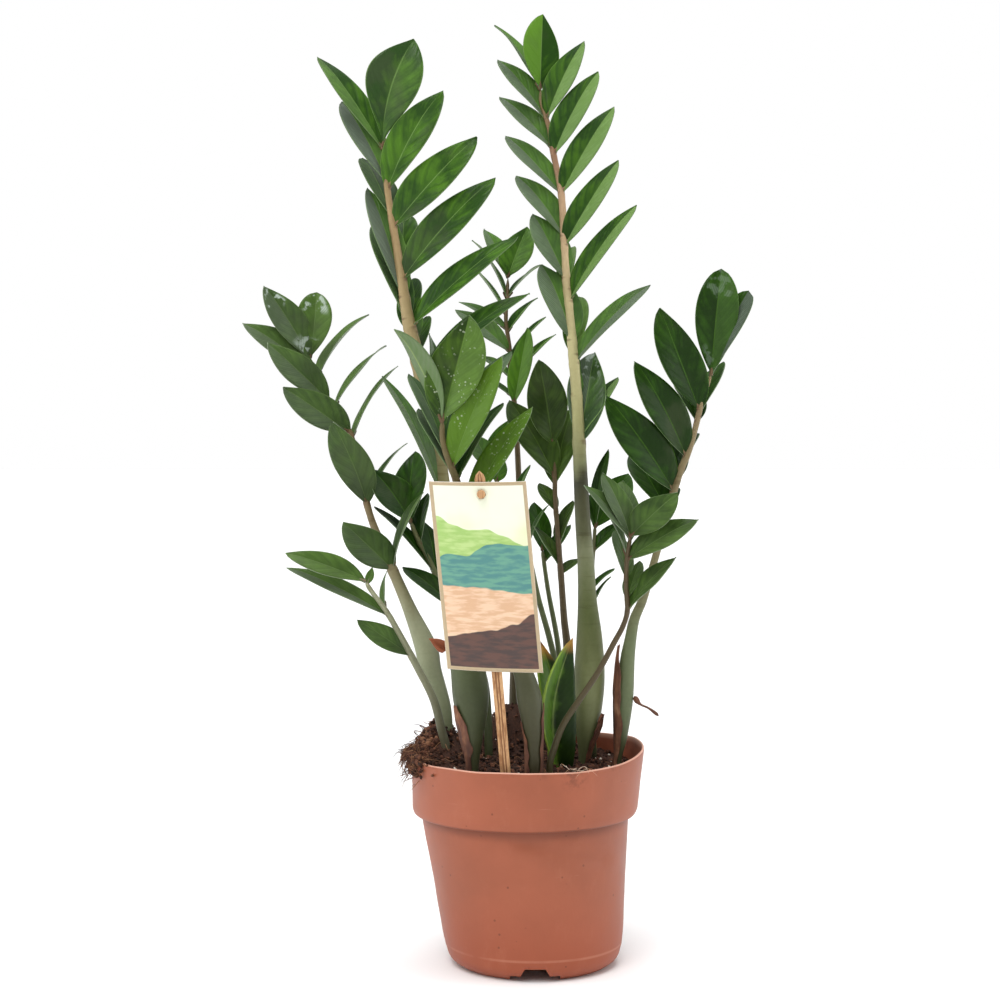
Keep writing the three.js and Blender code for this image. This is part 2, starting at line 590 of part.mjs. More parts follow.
for (const [name, { colour, foot, blade: shape }] of Object.entries(YOUNG_LEAVES)) {
  addNode(name, blade(new THREE.Vector3(...foot), shape), colour, 0.45);
}

// Sheaths --------------------------------------------------------------------------------------

// A thin curved plate round part of a stalk, narrowing to a torn point at its top
function sheath({ on, from, to, bearing, span }, grow = 0) {
  const stalk = stalks[on];
  const rows = 4;
  const columns = 4;
  const rings = [];
  for (let row = 0; row <= rows; row += 1) {
    const share = row / rows;
    const height = THREE.MathUtils.lerp(from - grow, to + grow, share);
    const inner = stalk.radius(height) + SHEATH_GAP + 1.2 * share ** 3 - grow;
    const outer = inner + SHEATH_THICK + 2 * grow;
    const open = THREE.MathUtils.degToRad(span * (1 - 0.75 * share ** 2) + grow * 10);
    const centre = stalk.at(height);
    const arc = (radius) => Array.from({ length: columns }, (_, column) => {
      const angle = THREE.MathUtils.degToRad(bearing) + (column / (columns - 1) - 0.5) * open;
      return centre.clone().add(new THREE.Vector3(radius * Math.cos(angle), radius * Math.sin(angle), 0));
    });
    rings.push([...arc(outer), ...arc(inner).reverse()]);
  }
  return solidOf(loft(rings));
}

for (const [name, shape] of Object.entries(SHEATHS)) addNode(name, sheath(shape), 0x8a5a36, 0.8);

const stub = new Stalk(DRY_STUB, 0, 0);
addNode('dry_stub', stub.solid(), 0x6b4128, 0.85);

// Label ----------------------------------------------------------------------------------------

// A flat stick of split wood from foot to top, with a peg near its top that the card hangs on
function stick(grow = 0) {
  const [foot, top] = [new THREE.Vector3(...STICK_FOOT), new THREE.Vector3(...STICK_TOP)];
  const along = top.clone().sub(foot).normalize();
  const across = new THREE.Vector3(1, 0, 0).addScaledVector(along, -along.x).normalize();
  const deep = along.clone().cross(across);
  const outline = [
    [-0.5, -0.3], [-0.3, -0.5], [0.3, -0.5], [0.5, -0.3],
    [0.5, 0.3], [0.3, 0.5], [-0.3, 0.5], [-0.5, 0.3],
  ];
  const ring = (share, scale) => outline.map(([x, y]) => foot.clone().lerp(top, share)
    .addScaledVector(across, x * (STICK_WIDTH * scale + 2 * grow))
    .addScaledVector(deep, y * (STICK_THICK + 2 * grow)));
  const rings = [ring(0.03, 0.6), ring(0.08, 1), ring(0.97, 1), ring(0.995, 0.75)];
  return solidOf(loft(rings, foot.addScaledVector(along, -grow), top.addScaledVector(along, grow)));
}

function peg(grow = 0) {
  const share = (PEG_HEIGHT - STICK_FOOT[2]) / (STICK_TOP[2] - STICK_FOOT[2]);
  const place = new THREE.Vector3(...STICK_FOOT).lerp(new THREE.Vector3(...STICK_TOP), share);
  const geometry = new THREE.CylinderGeometry(PEG_RADIUS + grow, PEG_RADIUS + grow, PEG_LENGTH, 12);
  return solidOf(geometry.translate(place.x, place.y - PEG_FORWARD, place.z));
}

// The card: a sheet bowed about its upright middle line, tilted with its stick and leaning to the left
function card() {
  const [columns, rows] = [6, 3];
  const rings = [];
  for (let row = 0; row <= rows; row += 1) {
    const high = (row / rows - 0.5) * CARD_HEIGHT;
    const side = (front) => Array.from({ length: columns + 1 }, (_, column) => {
      const x = (column / columns - 0.5) * CARD_WIDTH;
      const bow = -CARD_BOW * (1 - (2 * x / CARD_WIDTH) ** 2);
      return new THREE.Vector3(x, bow + (front ? -CARD_THICK : 0), high);
    });
    rings.push([...side(true), ...side(false).reverse()]);
  }
  const geometry = loft(rings);
  geometry.rotateX(THREE.MathUtils.degToRad(CARD_TILT)).rotateY(THREE.MathUtils.degToRad(-CARD_LEAN));
  return solidOf(geometry.translate(...CARD_CENTRE));
}

addNode('label_stick', stick().add(peg()), 0xc79a68, 0.7);
addNode('label_card', card().subtract(peg(GAP)), 0xd9d6b8, 0.35);

// Soil -----------------------------------------------------------------------------------------

function soilHeight(x, y) {
  const lumps = 0.9 * Math.sin(0.31 * x + 0.17 * y) * Math.cos(0.23 * y - 0.11 * x);
  return MOUNDS.reduce((height, [cx, cy, rise, wide, deep]) => {
    const near = Math.exp(-(((x - cx) / wide) ** 2) - ((y - cy) / deep) ** 2);
    return height + rise * near;
  }, SOIL_LEVEL + lumps);
}

const soilWall = innerWall.slice(0, -1).map(([r, z]) => [r - GAP, z + GAP]);
const soilTop = Array.from({ length: SOIL_RINGS + 1 }, (_, ring) => (
  [SOIL_EDGE * (1 - ring / SOIL_RINGS), SOIL_TURNED_TOP]
));
const soilProfile = [[0, FLOOR_TOP + GAP], ...soilWall, [SOIL_EDGE, SOIL_WALL_TOP], ...soilTop];
let soil = turned(soilProfile, (place) => {
  if (place.z === SOIL_TURNED_TOP) place.z = soilHeight(place.x, place.y);
});
for (const name of Object.keys(FRONDS)) soil = soil.subtract(stalks[name].solid(GAP, STALK_CUT_TOP));
for (const { foot, blade: shape } of Object.values(YOUNG_LEAVES)) {
  soil = soil.subtract(blade(new THREE.Vector3(...foot), shape, GAP));
}
for (const shape of Object.values(SHEATHS)) soil = soil.subtract(sheath(shape, GAP));
soil = soil.subtract(stick(GAP));
addNode('soil', soil, 0x3a2418, 0.95);

export default plant;
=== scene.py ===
import math
import random

import bmesh
import bpy
from mathutils import Matrix, Vector, noise


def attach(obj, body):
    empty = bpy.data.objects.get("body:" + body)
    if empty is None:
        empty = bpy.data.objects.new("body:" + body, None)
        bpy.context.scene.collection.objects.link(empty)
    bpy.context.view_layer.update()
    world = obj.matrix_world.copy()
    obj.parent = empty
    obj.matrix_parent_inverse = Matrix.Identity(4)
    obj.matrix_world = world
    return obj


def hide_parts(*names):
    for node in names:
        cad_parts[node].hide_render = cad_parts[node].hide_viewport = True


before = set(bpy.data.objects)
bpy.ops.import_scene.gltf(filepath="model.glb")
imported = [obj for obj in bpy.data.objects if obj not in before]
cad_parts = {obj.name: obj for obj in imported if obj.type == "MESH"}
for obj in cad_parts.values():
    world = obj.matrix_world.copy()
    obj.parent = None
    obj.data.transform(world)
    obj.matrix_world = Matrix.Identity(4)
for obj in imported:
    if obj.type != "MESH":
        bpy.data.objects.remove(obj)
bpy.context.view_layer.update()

# ---------------------------------------------------------------------------------------------
# Camera. It stands 1.5 m in front of the pot, as high as the middle leaves, and tips down a little,
# with a long lens, so that the plant is hardly in perspective.

EYE = Vector((0.00685, -1.50262, 0.4))
TIPPED_DOWN = 2.3                 # degrees
camera_data = bpy.data.cameras.new("studio_camera")
camera_data.sensor_width = 36
camera_data.lens = 73.98
camera = bpy.data.objects.new("studio_camera", camera_data)
bpy.context.collection.objects.link(camera)
camera.location = EYE
camera.rotation_euler = (math.radians(90 - TIPPED_DOWN), 0, 0)
bpy.context.scene.camera = camera

# ---------------------------------------------------------------------------------------------
# Studio. A pale floor that runs out to a white horizon, with a large soft light overhead, another
# high in front to the left, and a tall one at each side, which brightens the pot's flanks. A small
# one beside the key only gleams in the leaves.

FLOOR_HALF = 14.0


class Value:
    """A value in a material's nodes. Arithmetic on it adds Math nodes."""

    def __init__(self, tree, socket=None):
        self.tree = tree
        self.socket = socket

    def node(self, kind, inputs=None, out=0, stops=None, **settings):
        """Adds any node: its settings first, then the values or links of its sockets."""
        made = self.tree.nodes.new("ShaderNode" + kind)
        for name, setting in settings.items():
            setattr(made, name, setting)
        if stops:
            ramp = made.color_ramp.elements
            ramp[0].position, ramp[0].color = stops[0]
            ramp[1].position, ramp[1].color = stops[-1]
            for place, colour in stops[1:-1]:
                ramp.new(place).color = colour
        for key, value in (inputs or {}).items():
            if isinstance(value, Value):
                self.tree.links.new(value.socket, made.inputs[key])
            else:
                made.inputs[key].default_value = value
        return Value(self.tree, made.outputs[out])

    def maths(self, operation, *others):
        return self.node("Math", dict(enumerate((self, *others))), operation=operation)

    def __add__(self, other):
        return self.maths("ADD", other)

    def __sub__(self, other):
        return self.maths("SUBTRACT", other)

    def __mul__(self, other):
        return self.maths("MULTIPLY", other)

    def __pow__(self, other):
        return self.maths("POWER", other)

    __radd__ = __add__
    __rmul__ = __mul__

    def __rsub__(self, other):
        return self * -1 + other

    def __abs__(self):
        return self.maths("ABSOLUTE")

    def between(self, low, high, start=0.0, end=1.0):
        """Eases from start to end as this value goes from low to high."""
        return self.node("MapRange", {0: self, 1: low, 2: high, 3: start, 4: end},
                         interpolation_type="SMOOTHSTEP")

    def mix(self, first, second, mode="MIX"):
        """The first colour where this value is 0, and the second where it is 1."""
        return self.node("Mix", {0: self, 6: first, 7: second}, out=2, data_type="RGBA",
                         blend_type=mode)

    def noise(self, scale, detail=2.0, rough=0.5, stretch=None):
        """A cloudy pattern over these coordinates, from 0 to 1."""
        place = self.node("Mapping", {0: self, 3: stretch}) if stretch else self
        return self.node("TexNoise", {"Vector": place, "Scale": scale, "Detail": detail,
                                      "Roughness": rough})

    def cells(self, scale):
        """Distance to the nearest of many scattered points."""
        return self.node("TexVoronoi", {"Vector": self, "Scale": scale}, out="Distance")

    def coordinates(self, kind="Object"):
        """Places in metres, or, with "UV", the share across a sheet and along it."""
        return self.node("TexCoord", out=kind)

    def mark(self, name):
        """A number that the mesh carries at each of its points."""
        return self.node("Attribute", out="Fac", attribute_name=name)

    def parts(self):
        """The x, y and z of these coordinates."""
        split = self.node("SeparateXYZ", {0: self})
        outputs = split.socket.node.outputs
        return [Value(self.tree, outputs[axis]) for axis in range(3)]


def new_finish(name, specular, **fixed):
    """A material whose shader has some fixed sockets, and a Value to start its nodes from."""
    material = bpy.data.materials.new(name)
    material.use_nodes = True
    shader = material.node_tree.nodes["Principled BSDF"]
    for socket, amount in {"Specular_IOR_Level": specular, **fixed}.items():
        shader.inputs[socket.replace("_", " ")].default_value = amount
    return material, Value(material.node_tree)


def feed(material, colour=None, roughness=None, height=None, depth=0.0005):
    """Links what varies over a surface to the shader: its colour, its roughness and its relief."""
    tree = material.node_tree
    shader = tree.nodes["Principled BSDF"]
    if colour:
        tree.links.new(colour.socket, shader.inputs["Base Color"])
    if roughness:
        tree.links.new(roughness.socket, shader.inputs["Roughness"])
    if height:
        bump = height.node("Bump", {"Height": height, "Distance": depth, "Strength": 1.0})
        tree.links.new(bump.socket, shader.inputs["Normal"])


def rgb(red, green, blue):
    """A colour from the 0 to 255 values of a screen."""
    return tuple(((c / 255 + 0.055) / 1.055) ** 2.4 for c in (red, green, blue)) + (1.0,)


def new_piece(name, bm, finishes, smooth=True):
    """Makes an object of a finished bmesh, with its materials."""
    mesh = bpy.data.meshes.new(name)
    bm.to_mesh(mesh)
    bm.free()
    for finish in finishes:
        mesh.materials.append(finish)
    if smooth:
        mesh.shade_smooth()
    piece = bpy.data.objects.new(name, mesh)
    bpy.context.collection.objects.link(piece)
    return piece


floor_finish, start = new_finish("pale_floor", 0.2)
where = start.coordinates()
shade = where.noise(3.0, 4.0)
feed(floor_finish, shade.mix(rgb(244, 244, 243), rgb(248, 248, 247)), shade.between(0, 1, 0.7, 0.8))
bm = bmesh.new()
bmesh.ops.create_grid(bm, x_segments=1, y_segments=1, size=FLOOR_HALF)
floor = new_piece("studio_floor", bm, [floor_finish], smooth=False)

world = bpy.data.worlds.new("white_tent")
world.use_nodes = True
background = world.node_tree.nodes["Background"]
outward = Value(world.node_tree).node("TexCoord")
climb = outward.parts()[2]
tent = climb.between(0.23, 0.31).mix((1.0, 1.0, 1.0, 1.0), (0.13, 0.135, 0.15, 1.0))
tent = climb.between(0.56, 0.68).mix(tent, (0.5, 0.5, 0.52, 1.0))
world.node_tree.links.new(tent.socket, background.inputs["Color"])
bpy.context.scene.world = world
bpy.context.scene.view_settings.view_transform = "Standard"


def place_light(name, kind, place, energy, **settings):
    """A light that is turned to the middle of the plant."""
    data = bpy.data.lights.new(name, kind)
    data.energy = energy
    for setting, amount in settings.items():
        setattr(data, setting, amount)
    light = bpy.data.objects.new(name, data)
    bpy.context.collection.objects.link(light)
    light.location = place
    light.rotation_euler = (Vector((0, 0, 0.3)) - Vector(place)).to_track_quat("-Z", "Y").to_euler()
    return light


for name, place in (("light_left", (-1.3, -0.35, 0.6)), ("light_right", (1.3, -0.25, 0.6))):
    place_light(name, "AREA", place, 6, shape="RECTANGLE", size=0.5, size_y=1.4)
place_light("light_overhead", "SUN", (0, 0, 3), 2.1, angle=math.radians(50))
key = place_light("light_key", "SUN", (-0.5, -1.5, 2.1), 1.4, angle=math.radians(35))
key.visible_glossy = False
gleam = place_light("light_gleam", "AREA", (-0.75, -1.3, 1.9), 22, shape="RECTANGLE", size=0.5, size_y=0.35)
gleam.visible_diffuse = False

# ---------------------------------------------------------------------------------------------
# Pot. One thin wall of terracotta-coloured plastic, moulded in one piece: a deep collar that
# overhangs a tapered body, and a foot ring with three arched drain notches under a raised floor.
# It is soft, so it has been pushed out of round, and its lip stands higher at the right.

POT_PLACE = (27.25, -2.62)        # the pot's axis from the frame's origin, in millimetres
COLLAR_BOTTOM = 111.0
RIM_HEIGHT = 153.4
COLLAR_SHIFT = 2.2                # the body leans: its top stands this far left of the rim
FOOT_SHIFT = 4.5                  # and its foot this far right
FOOT_TOP = 15.0
POT_SIDES = 180
POT_OUTLINE = (                   # radius, height and rounding of each corner, from the floor outwards
    (0, 12.2, 0), (59.5, 12.2, 1.5), (50.6, 2.2, 0.8), (50.6, 0, 0.5), (54, 0, 1.2), (62.4, 5.2, 5),
    (65.9, 19, 9), (67.4, 33, 5), (75.8, 110.9, 0.5), (80.6, 110.6, 1.6), (82.3, 114.4, 2.2),
    (85.5, 151.9, 0.9), (85.0, 153.5, 0.5), (83.8, 153.3, 0.5), (81.2, 117, 2), (77.6, 113.4, 1),
    (74.8, 112.3, 0.8), (66.1, 33, 3), (63.8, 14.6, 1.5), (61.5, 13.4, 1), (0, 13.4, 0),
)
NOTCH_OUTLINE = (                 # across the ring and up: a low step on both sides of the arch
    (-18.6, -2), (18.6, -2), (17.6, 4.3), (10.6, 4.3), (7.4, 10.4), (-7.4, 10.4), (-10.6, 4.3), (-17.6, 4.3),
)
NOTCHES = 3
DRAINS = 6
DRAIN_CIRCLE = 38.0
DRAIN_RADIUS = 5.5
LIP_BOTTOM = 152.4                # the lip's edge, painted paler as a highlight, is above this height
LIP_LIFT = 7.5                    # the lip is raised this much where it is highest


def metres(x, y, z):
    """A point of the part's frame from millimetres off the pot's axis and up from the floor."""
    return Vector(((x + POT_PLACE[0]) / 1000, (y + POT_PLACE[1]) / 1000, z / 1000))


def hump(away, width):
    """A smooth rise: 1 in its middle, and next to nothing from twice its width away."""
    return math.exp(-(away / width) ** 2)


def polar(reach, bearing):
    """How far right and back a spot is, from its distance and its bearing."""
    return reach * math.cos(bearing), reach * math.sin(bearing)


def round_bar(bm, radius, length, sides, place):
    """Adds a closed cylinder, and gives its corners."""
    return bmesh.ops.create_cone(bm, cap_ends=True, segments=sides, radius1=radius, radius2=radius,
                                 depth=length, matrix=place)["verts"]


def soften(corners, longest):
    """Rounds the corners of an outline with short arcs, and splits what is longer than a limit."""
    arcs = []
    for number, (*here, rounding) in enumerate(corners):
        here = Vector(here)
        if not rounding:
            arcs.append(here)
            continue
        ends = [here + (Vector(corners[side][:2]) - here).normalized() * rounding
                for side in (number - 1, number + 1)]
        for step in range(5):
            t = step / 4
            arcs.append((1 - t) ** 2 * ends[0] + 2 * t * (1 - t) * here + t * t * ends[1])
    points = [arcs[0]]
    for point in arcs[1:]:
        count = max(1, math.ceil((point - points[-1]).length / longest))
        points += [points[-1].lerp(point, (step + 1) / count) for step in range(count)]
    return points


def pot_centre(z):
    """How far the pot's middle stands to the right at a height: its body leans towards its foot."""
    if z > COLLAR_BOTTOM:
        return -COLLAR_SHIFT * (1 - min((z - COLLAR_BOTTOM) / (RIM_HEIGHT - COLLAR_BOTTOM), 1))
    climb = (max(z, FOOT_TOP) - FOOT_TOP) / (COLLAR_BOTTOM - FOOT_TOP)
    return FOOT_SHIFT - (FOOT_SHIFT + COLLAR_SHIFT) * climb


def push_in(x, z):
    """Depth of the dents in the front of the body: one under the collar and a long slanting one."""
    under_collar = 1.9 * hump(x - 3, 27) * hump(z - 105, 6)
    spot, start, end = Vector((x, z)), Vector((-6, 103)), Vector((52, 86))
    share = min(max((spot - start).dot(end - start) / (end - start).length_squared, 0), 1)
    away = (spot - start.lerp(end, share)).length
    return under_collar + 0.8 * hump(away, 4.5) - 0.45 * hump(away - 9, 6)


def pot_warp(point):
    """Takes a point of the round, upright pot to its place on the real one."""
    x, y, z = point
    radius = math.hypot(x, y)
    if radius > 45:
        waves = 0.55 * noise.noise(point / 42) + 0.22 * noise.noise(point / 17)
        ridge = 0.4 * hump(z - 15.5, 1.1) if radius > 62 else 0
        dent = push_in(x, z) if y < 0 and 20 < z < COLLAR_BOTTOM - 1 else 0
        scale = 1 + (waves + ridge - dent) / radius * min(1, z / 20)
        x, y = x * scale, y * scale
    if z > COLLAR_BOTTOM + 4:
        bearing = math.atan2(y, x) - math.radians(20)
        rise = LIP_LIFT * max(0, math.cos(bearing)) ** 2 + 0.8 * noise.noise(Vector((x, y, 0)) / 30)
        z += rise * (point.z - COLLAR_BOTTOM - 4) / (RIM_HEIGHT - COLLAR_BOTTOM - 4)
    return metres(x + pot_centre(point.z), y, z)


bm = bmesh.new()
line = [bm.verts.new((radius, 0, height)) for radius, height in soften(POT_OUTLINE, 3.2)]
for first, second in zip(line, line[1:]):
    bm.edges.new((first, second))
bmesh.ops.spin(bm, geom=bm.verts[:] + bm.edges[:], cent=(0, 0, 0), axis=(0, 0, 1),
               angle=math.tau, steps=POT_SIDES, use_merge=True)
bmesh.ops.remove_doubles(bm, verts=bm.verts, dist=1e-4)
bmesh.ops.recalc_face_normals(bm, faces=bm.faces)
pot = new_piece("nursery_pot", bm, [])

bm = bmesh.new()
for notch in range(NOTCHES):
    face = bm.faces.new([bm.verts.new((x, -30, z)) for x, z in NOTCH_OUTLINE])
    moved = bmesh.ops.extrude_face_region(bm, geom=[face])["geom"]
    far = [part for part in moved if isinstance(part, bmesh.types.BMVert)]
    bmesh.ops.translate(bm, verts=far, vec=(0, -50, 0))
    bmesh.ops.rotate(bm, verts=face.verts[:] + far, cent=(0, 0, 0),
                     matrix=Matrix.Rotation(notch * math.tau / NOTCHES, 3, "Z"))
for hole in range(DRAINS):
    bearing = (hole + 0.5) * math.tau / DRAINS
    round_bar(bm, DRAIN_RADIUS, 6, 32, Matrix.Translation((*polar(DRAIN_CIRCLE, bearing), 13)))
bmesh.ops.recalc_face_normals(bm, faces=bm.faces)
cutter = new_piece("drain_cutter", bm, [])
cut = pot.modifiers.new("drains", "BOOLEAN")
cut.operation = "DIFFERENCE"
cut.solver = "EXACT"
cut.object = cutter
pot_mesh = bpy.data.meshes.new_from_object(pot.evaluated_get(bpy.context.evaluated_depsgraph_get()))
pot.modifiers.clear()
pot.data = pot_mesh
bpy.data.objects.remove(cutter)
# Marks the lip's edge, which gets a painted highlight.
lip_highlight = pot_mesh.attributes.new("lip_highlight", "FLOAT", "POINT")
for corner in pot_mesh.vertices:
    lip_highlight.data[corner.index].value = corner.co.z > LIP_BOTTOM
    corner.co = pot_warp(corner.co)
pot_mesh.shade_smooth()
pot_mesh.set_sharp_from_angle(angle=math.radians(50))

pot_plastic, start = new_finish("terracotta_plastic", 0.3)
where = start.coordinates()
x, y, z = where.parts()
clouds = where.noise(16.0, 4.0, 0.6)
grain = where.noise(700.0, 3.0)
colour = clouds.between(0.3, 0.7).mix(rgb(140, 77, 53), rgb(152, 84, 59))
colour = z.between(0.075, 0.0, 0, 0.7).mix(colour, rgb(146, 72, 46))
film = where.noise(60.0, 6.0, 0.7, stretch=(1, 1, 0.5)).between(0.5, 0.8, 0, 0.2)
colour = film.mix(colour, rgb(178, 114, 88))
scratches = where.noise(50.0, 4.0, 0.6, stretch=(0.35, 0.35, 3.0)).between(0.66, 0.76, 0, 0.22)
colour = scratches.mix(colour, rgb(192, 132, 108))
specks = where.cells(120.0).between(0.13, 0.07)
rare = where.noise(38.0).between(0.55, 0.6)
colour = (specks * rare * 0.6).mix(colour, rgb(92, 50, 36))
smear = abs(x - 0.0593).between(0.012, 0.002) * z.between(0.136, 0.15)
soiled = where.noise(180.0, 5.0, 0.7).between(0.42, 0.62)
lip_dust = z.between(0.1465, 0.1535) * where.noise(95.0, 4.0, 0.7).between(0.5, 0.68)
colour = ((smear * soiled * 0.6) + (lip_dust * 0.4)).mix(colour, rgb(96, 52, 35))
mould_line = z.between(0.0146, 0.0158) * z.between(0.0174, 0.0162) * clouds.between(0.4, 0.6) * 0.28
colour = mould_line.mix(colour, rgb(200, 142, 116))
# Painted shadow: a dark band just under the collar's overhang.
crease = z.between(0.101, 0.1105) * z.between(0.1125, 0.1108) * 0.65
colour = crease.mix(colour, rgb(98, 48, 32))
# Painted highlight: the edge of the lip is painted pale, as if it caught the light.
lip_highlight = start.mark("lip_highlight")
colour = (lip_highlight * 0.65).mix(colour, rgb(222, 174, 152))
feed(pot_plastic, colour, clouds.between(0, 1, 0.4, 0.52) + film * 0.3,
     grain * 0.4 + clouds * 2.0 + scratches, 0.00012)
pot_mesh.materials.clear()
pot_mesh.materials.append(pot_plastic)
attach(pot, "root")
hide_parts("pot")

# ---------------------------------------------------------------------------------------------
# Peat. Dark and loose, heaped against the stalks at the back and over the rim at the left, with
# crumbs, a little white grit, and pale roots and fibres that stick out of it.

MOUNDS = (                        # x, y, height, half width and half depth of each heap
    (-65, 14, 30, 18, 30), (-10, 54, 36, 32, 20), (62, 10, -4, 25, 40),
)
PEAT_LEVEL = 146.5
PEAT_RADIUS = 82.6
PEAT_BOTTOM = 118.0
RIM_REACH = 87.0                  # just outside the lip
CRUMBS = 2600
SPILT_CRUMBS = 1200               # in the heap on the left rim
HANGING_CRUMBS = 320              # outside that rim
FIBRES = 420
FRONT_FIBRES = 9                  # the first ones, in a tuft at the front
PALE_FIBRES = 13
ROOTS = 190                       # outside the left rim, after the other fibres
chance = random.Random(17)


def peat_height(x, y):
    """The top of the peat, with its heaps but without its lumps."""
    height = PEAT_LEVEL - 0.2 + 0.9 * math.sin(0.31 * x + 0.17 * y) * math.cos(0.23 * y - 0.11 * x)
    for across, back, rise, wide, deep in MOUNDS:
        height += rise * hump(x - across, wide) * hump(y - back, deep)
    return height


def lay_grid(bm, columns, rows, shape, finish=0, **marks):
    """Adds a grid whose points a formula places, from its share across and its share along."""
    floats = bm.verts.layers.float
    for name in marks:
        floats.get(name) or floats.new(name)
    layer = bm.loops.layers.uv.verify()
    made = bmesh.ops.create_grid(bm, x_segments=columns, y_segments=rows, size=0.5)["verts"]
    shares = {corner: (corner.co.x + 0.5, corner.co.y + 0.5) for corner in made}
    for face in {face for corner in made for face in corner.link_faces}:
        face.material_index = finish
        for loop in face.loops:
            loop[layer].uv = shares[loop.vert]
    for corner in made:
        corner.co = shape(*shares[corner])
        for name, amount in marks.items():
            corner[floats[name]] = amount
    return made


def peat_surface(u, v):
    u, v = 2 * u - 1, 2 * v - 1
    x = PEAT_RADIUS * u * math.sqrt(1 - v * v / 2)
    y = PEAT_RADIUS * v * math.sqrt(1 - u * u / 2)
    spot = Vector((x, y, 0))
    lumps = 2.6 * noise.noise(spot / 13) + 1.5 * noise.noise(spot / 4.5) + 1.0 * noise.noise(spot / 2.2)
    return metres(x, y, peat_height(x, y) + lumps)


bm = bmesh.new()
lay_grid(bm, 150, 150, peat_surface, tone=0.3)
skirt = bmesh.ops.extrude_edge_only(bm, edges=[edge for edge in bm.edges if edge.is_boundary])["geom"]
low = [part for part in skirt if isinstance(part, bmesh.types.BMVert)]
for corner in low:
    x, y = corner.co.x * 1000 - POT_PLACE[0], corner.co.y * 1000 - POT_PLACE[1]
    corner.co = metres(x * 0.92, y * 0.92, PEAT_BOTTOM)
bmesh.ops.contextual_create(bm, geom=[part for part in skirt if isinstance(part, bmesh.types.BMEdge)
                                      and part.is_boundary])
bmesh.ops.recalc_face_normals(bm, faces=bm.faces)
peat = new_piece("peat", bm, [])


def tube(bm, path, sides, rings, tone=0.0, mark=None):
    """Adds a closed tube along a path: a function that gives the middle and the radius at a share."""
    def wall(u, v):
        middle, radius = path(v)
        along = (path(min(v + 0.01, 1))[0] - path(max(v - 0.01, 0))[0]).normalized()
        across = Vector((1, 0.001, 0))
        across = (across - along * across.dot(along)).normalized()
        turn = math.tau * u
        return middle + (across * math.cos(turn) + along.cross(across) * math.sin(turn)) * radius
    made = lay_grid(bm, sides, rings, wall, tone=tone)
    if mark:
        tones = bm.verts.layers.float["tone"]
        for corner in made:
            corner[tones] = mark(corner.co)
    bmesh.ops.remove_doubles(bm, verts=made, dist=2e-6)


def scatter(count, spread):
    """Random spots on the peat, away from its edge."""
    for _ in range(count):
        bearing, reach = chance.uniform(0, math.tau), PEAT_RADIUS * math.sqrt(chance.random()) * spread
        yield polar(reach, bearing)


def crumb(bm, place, size, tone):
    """One small broken lump."""
    turn = Matrix.Rotation(chance.uniform(0, 3), 4, Vector((chance.random(), chance.random(), 1)))
    shape = Matrix.Diagonal((size * chance.uniform(0.6, 1.5), size * chance.uniform(0.6, 1.2),
                             size * chance.uniform(0.4, 0.9), 1))
    made = bmesh.ops.create_icosphere(bm, subdivisions=1, radius=0.001,
                                      matrix=Matrix.Translation(place) @ turn @ shape)["verts"]
    tones = bm.verts.layers.float["tone"]
    for corner in made:
        corner.co = place + (corner.co - place) * chance.uniform(0.7, 1.3)
        corner[tones] = tone


bm = bmesh.new()
bm.verts.layers.float.new("tone")
for x, y in scatter(CRUMBS, 0.985):
    size = 0.5 + 2.0 * chance.random() ** 3
    tone = chance.choice((0.05, 0.15, 0.25, 0.3, 0.4, 0.5)) if chance.random() < 0.985 else 0.95
    crumb(bm, metres(x, y, peat_height(x, y) + 0.8 + 0.8 * chance.random()), size, tone)
for _ in range(SPILT_CRUMBS):
    x, y = chance.gauss(-79, 6), chance.gauss(-8, 15)
    z = min(peat_height(x, y), 174) + chance.uniform(-1, 3) - max(0, -82 - x) * 1.4
    if math.hypot(x, y) < 92:
        crumb(bm, metres(x, y, max(z, 153.5)), 0.6 + 1.8 * chance.random() ** 2, chance.uniform(0.2, 0.68))
for _ in range(HANGING_CRUMBS):
    around, down = math.radians(chance.gauss(189, 9)), 15 * chance.random() ** 2.2
    spot = metres(*polar(RIM_REACH, around), 157 - down)
    crumb(bm, spot, 0.6 + 1.5 * chance.random(), chance.uniform(0.15, 0.6))
crumbs = new_piece("peat_crumbs", bm, [])

bm = bmesh.new()
for number in range(FIBRES + ROOTS):
    length = chance.uniform(4, 15)
    if number < FRONT_FIBRES:
        x, y, z, length = chance.gauss(36, 4), -77, 155, 9
    elif number >= FIBRES:
        around, down = math.radians(chance.gauss(187, 9)), chance.uniform(0, 1)
        x, y = polar(RIM_REACH - 0.4, around)
        z, length = 160 - 18 * down * down, 9
    elif number % 5 < 3:
        x, y = next(scatter(1, 0.75))
        z = peat_height(x, y)
    else:
        x, y = chance.gauss(-77, 6), chance.gauss(-8, 16)
        z = max(peat_height(x, y), 154)
    bearing = chance.uniform(0, math.tau)
    rise = chance.uniform(-1.1, 0.3) if number >= FIBRES else chance.uniform(-0.1, 0.9)
    ahead = Vector((*polar(1, bearing), rise))
    side = Vector((-ahead.y, ahead.x, chance.uniform(-0.6, 0.6)))
    curl, thick = chance.uniform(-1.3, 1.3), chance.uniform(0.12, 0.34)

    def strand(t):
        bend = side * curl * length * math.sin(math.pi * t * 1.4) * 0.6
        drop = Vector((0, 0, -0.6 * length * t * t))
        return metres(x, y, z) + (ahead * length * t + bend + drop) / 1000, thick / 1000 * (1 - t ** 4)

    tube(bm, strand, 4, 7, tone=chance.choice((0.1, 0.3, 0.4, 0.5, 0.7)) if number >= PALE_FIBRES else 0.85)
fibres = new_piece("peat_fibres", bm, [])

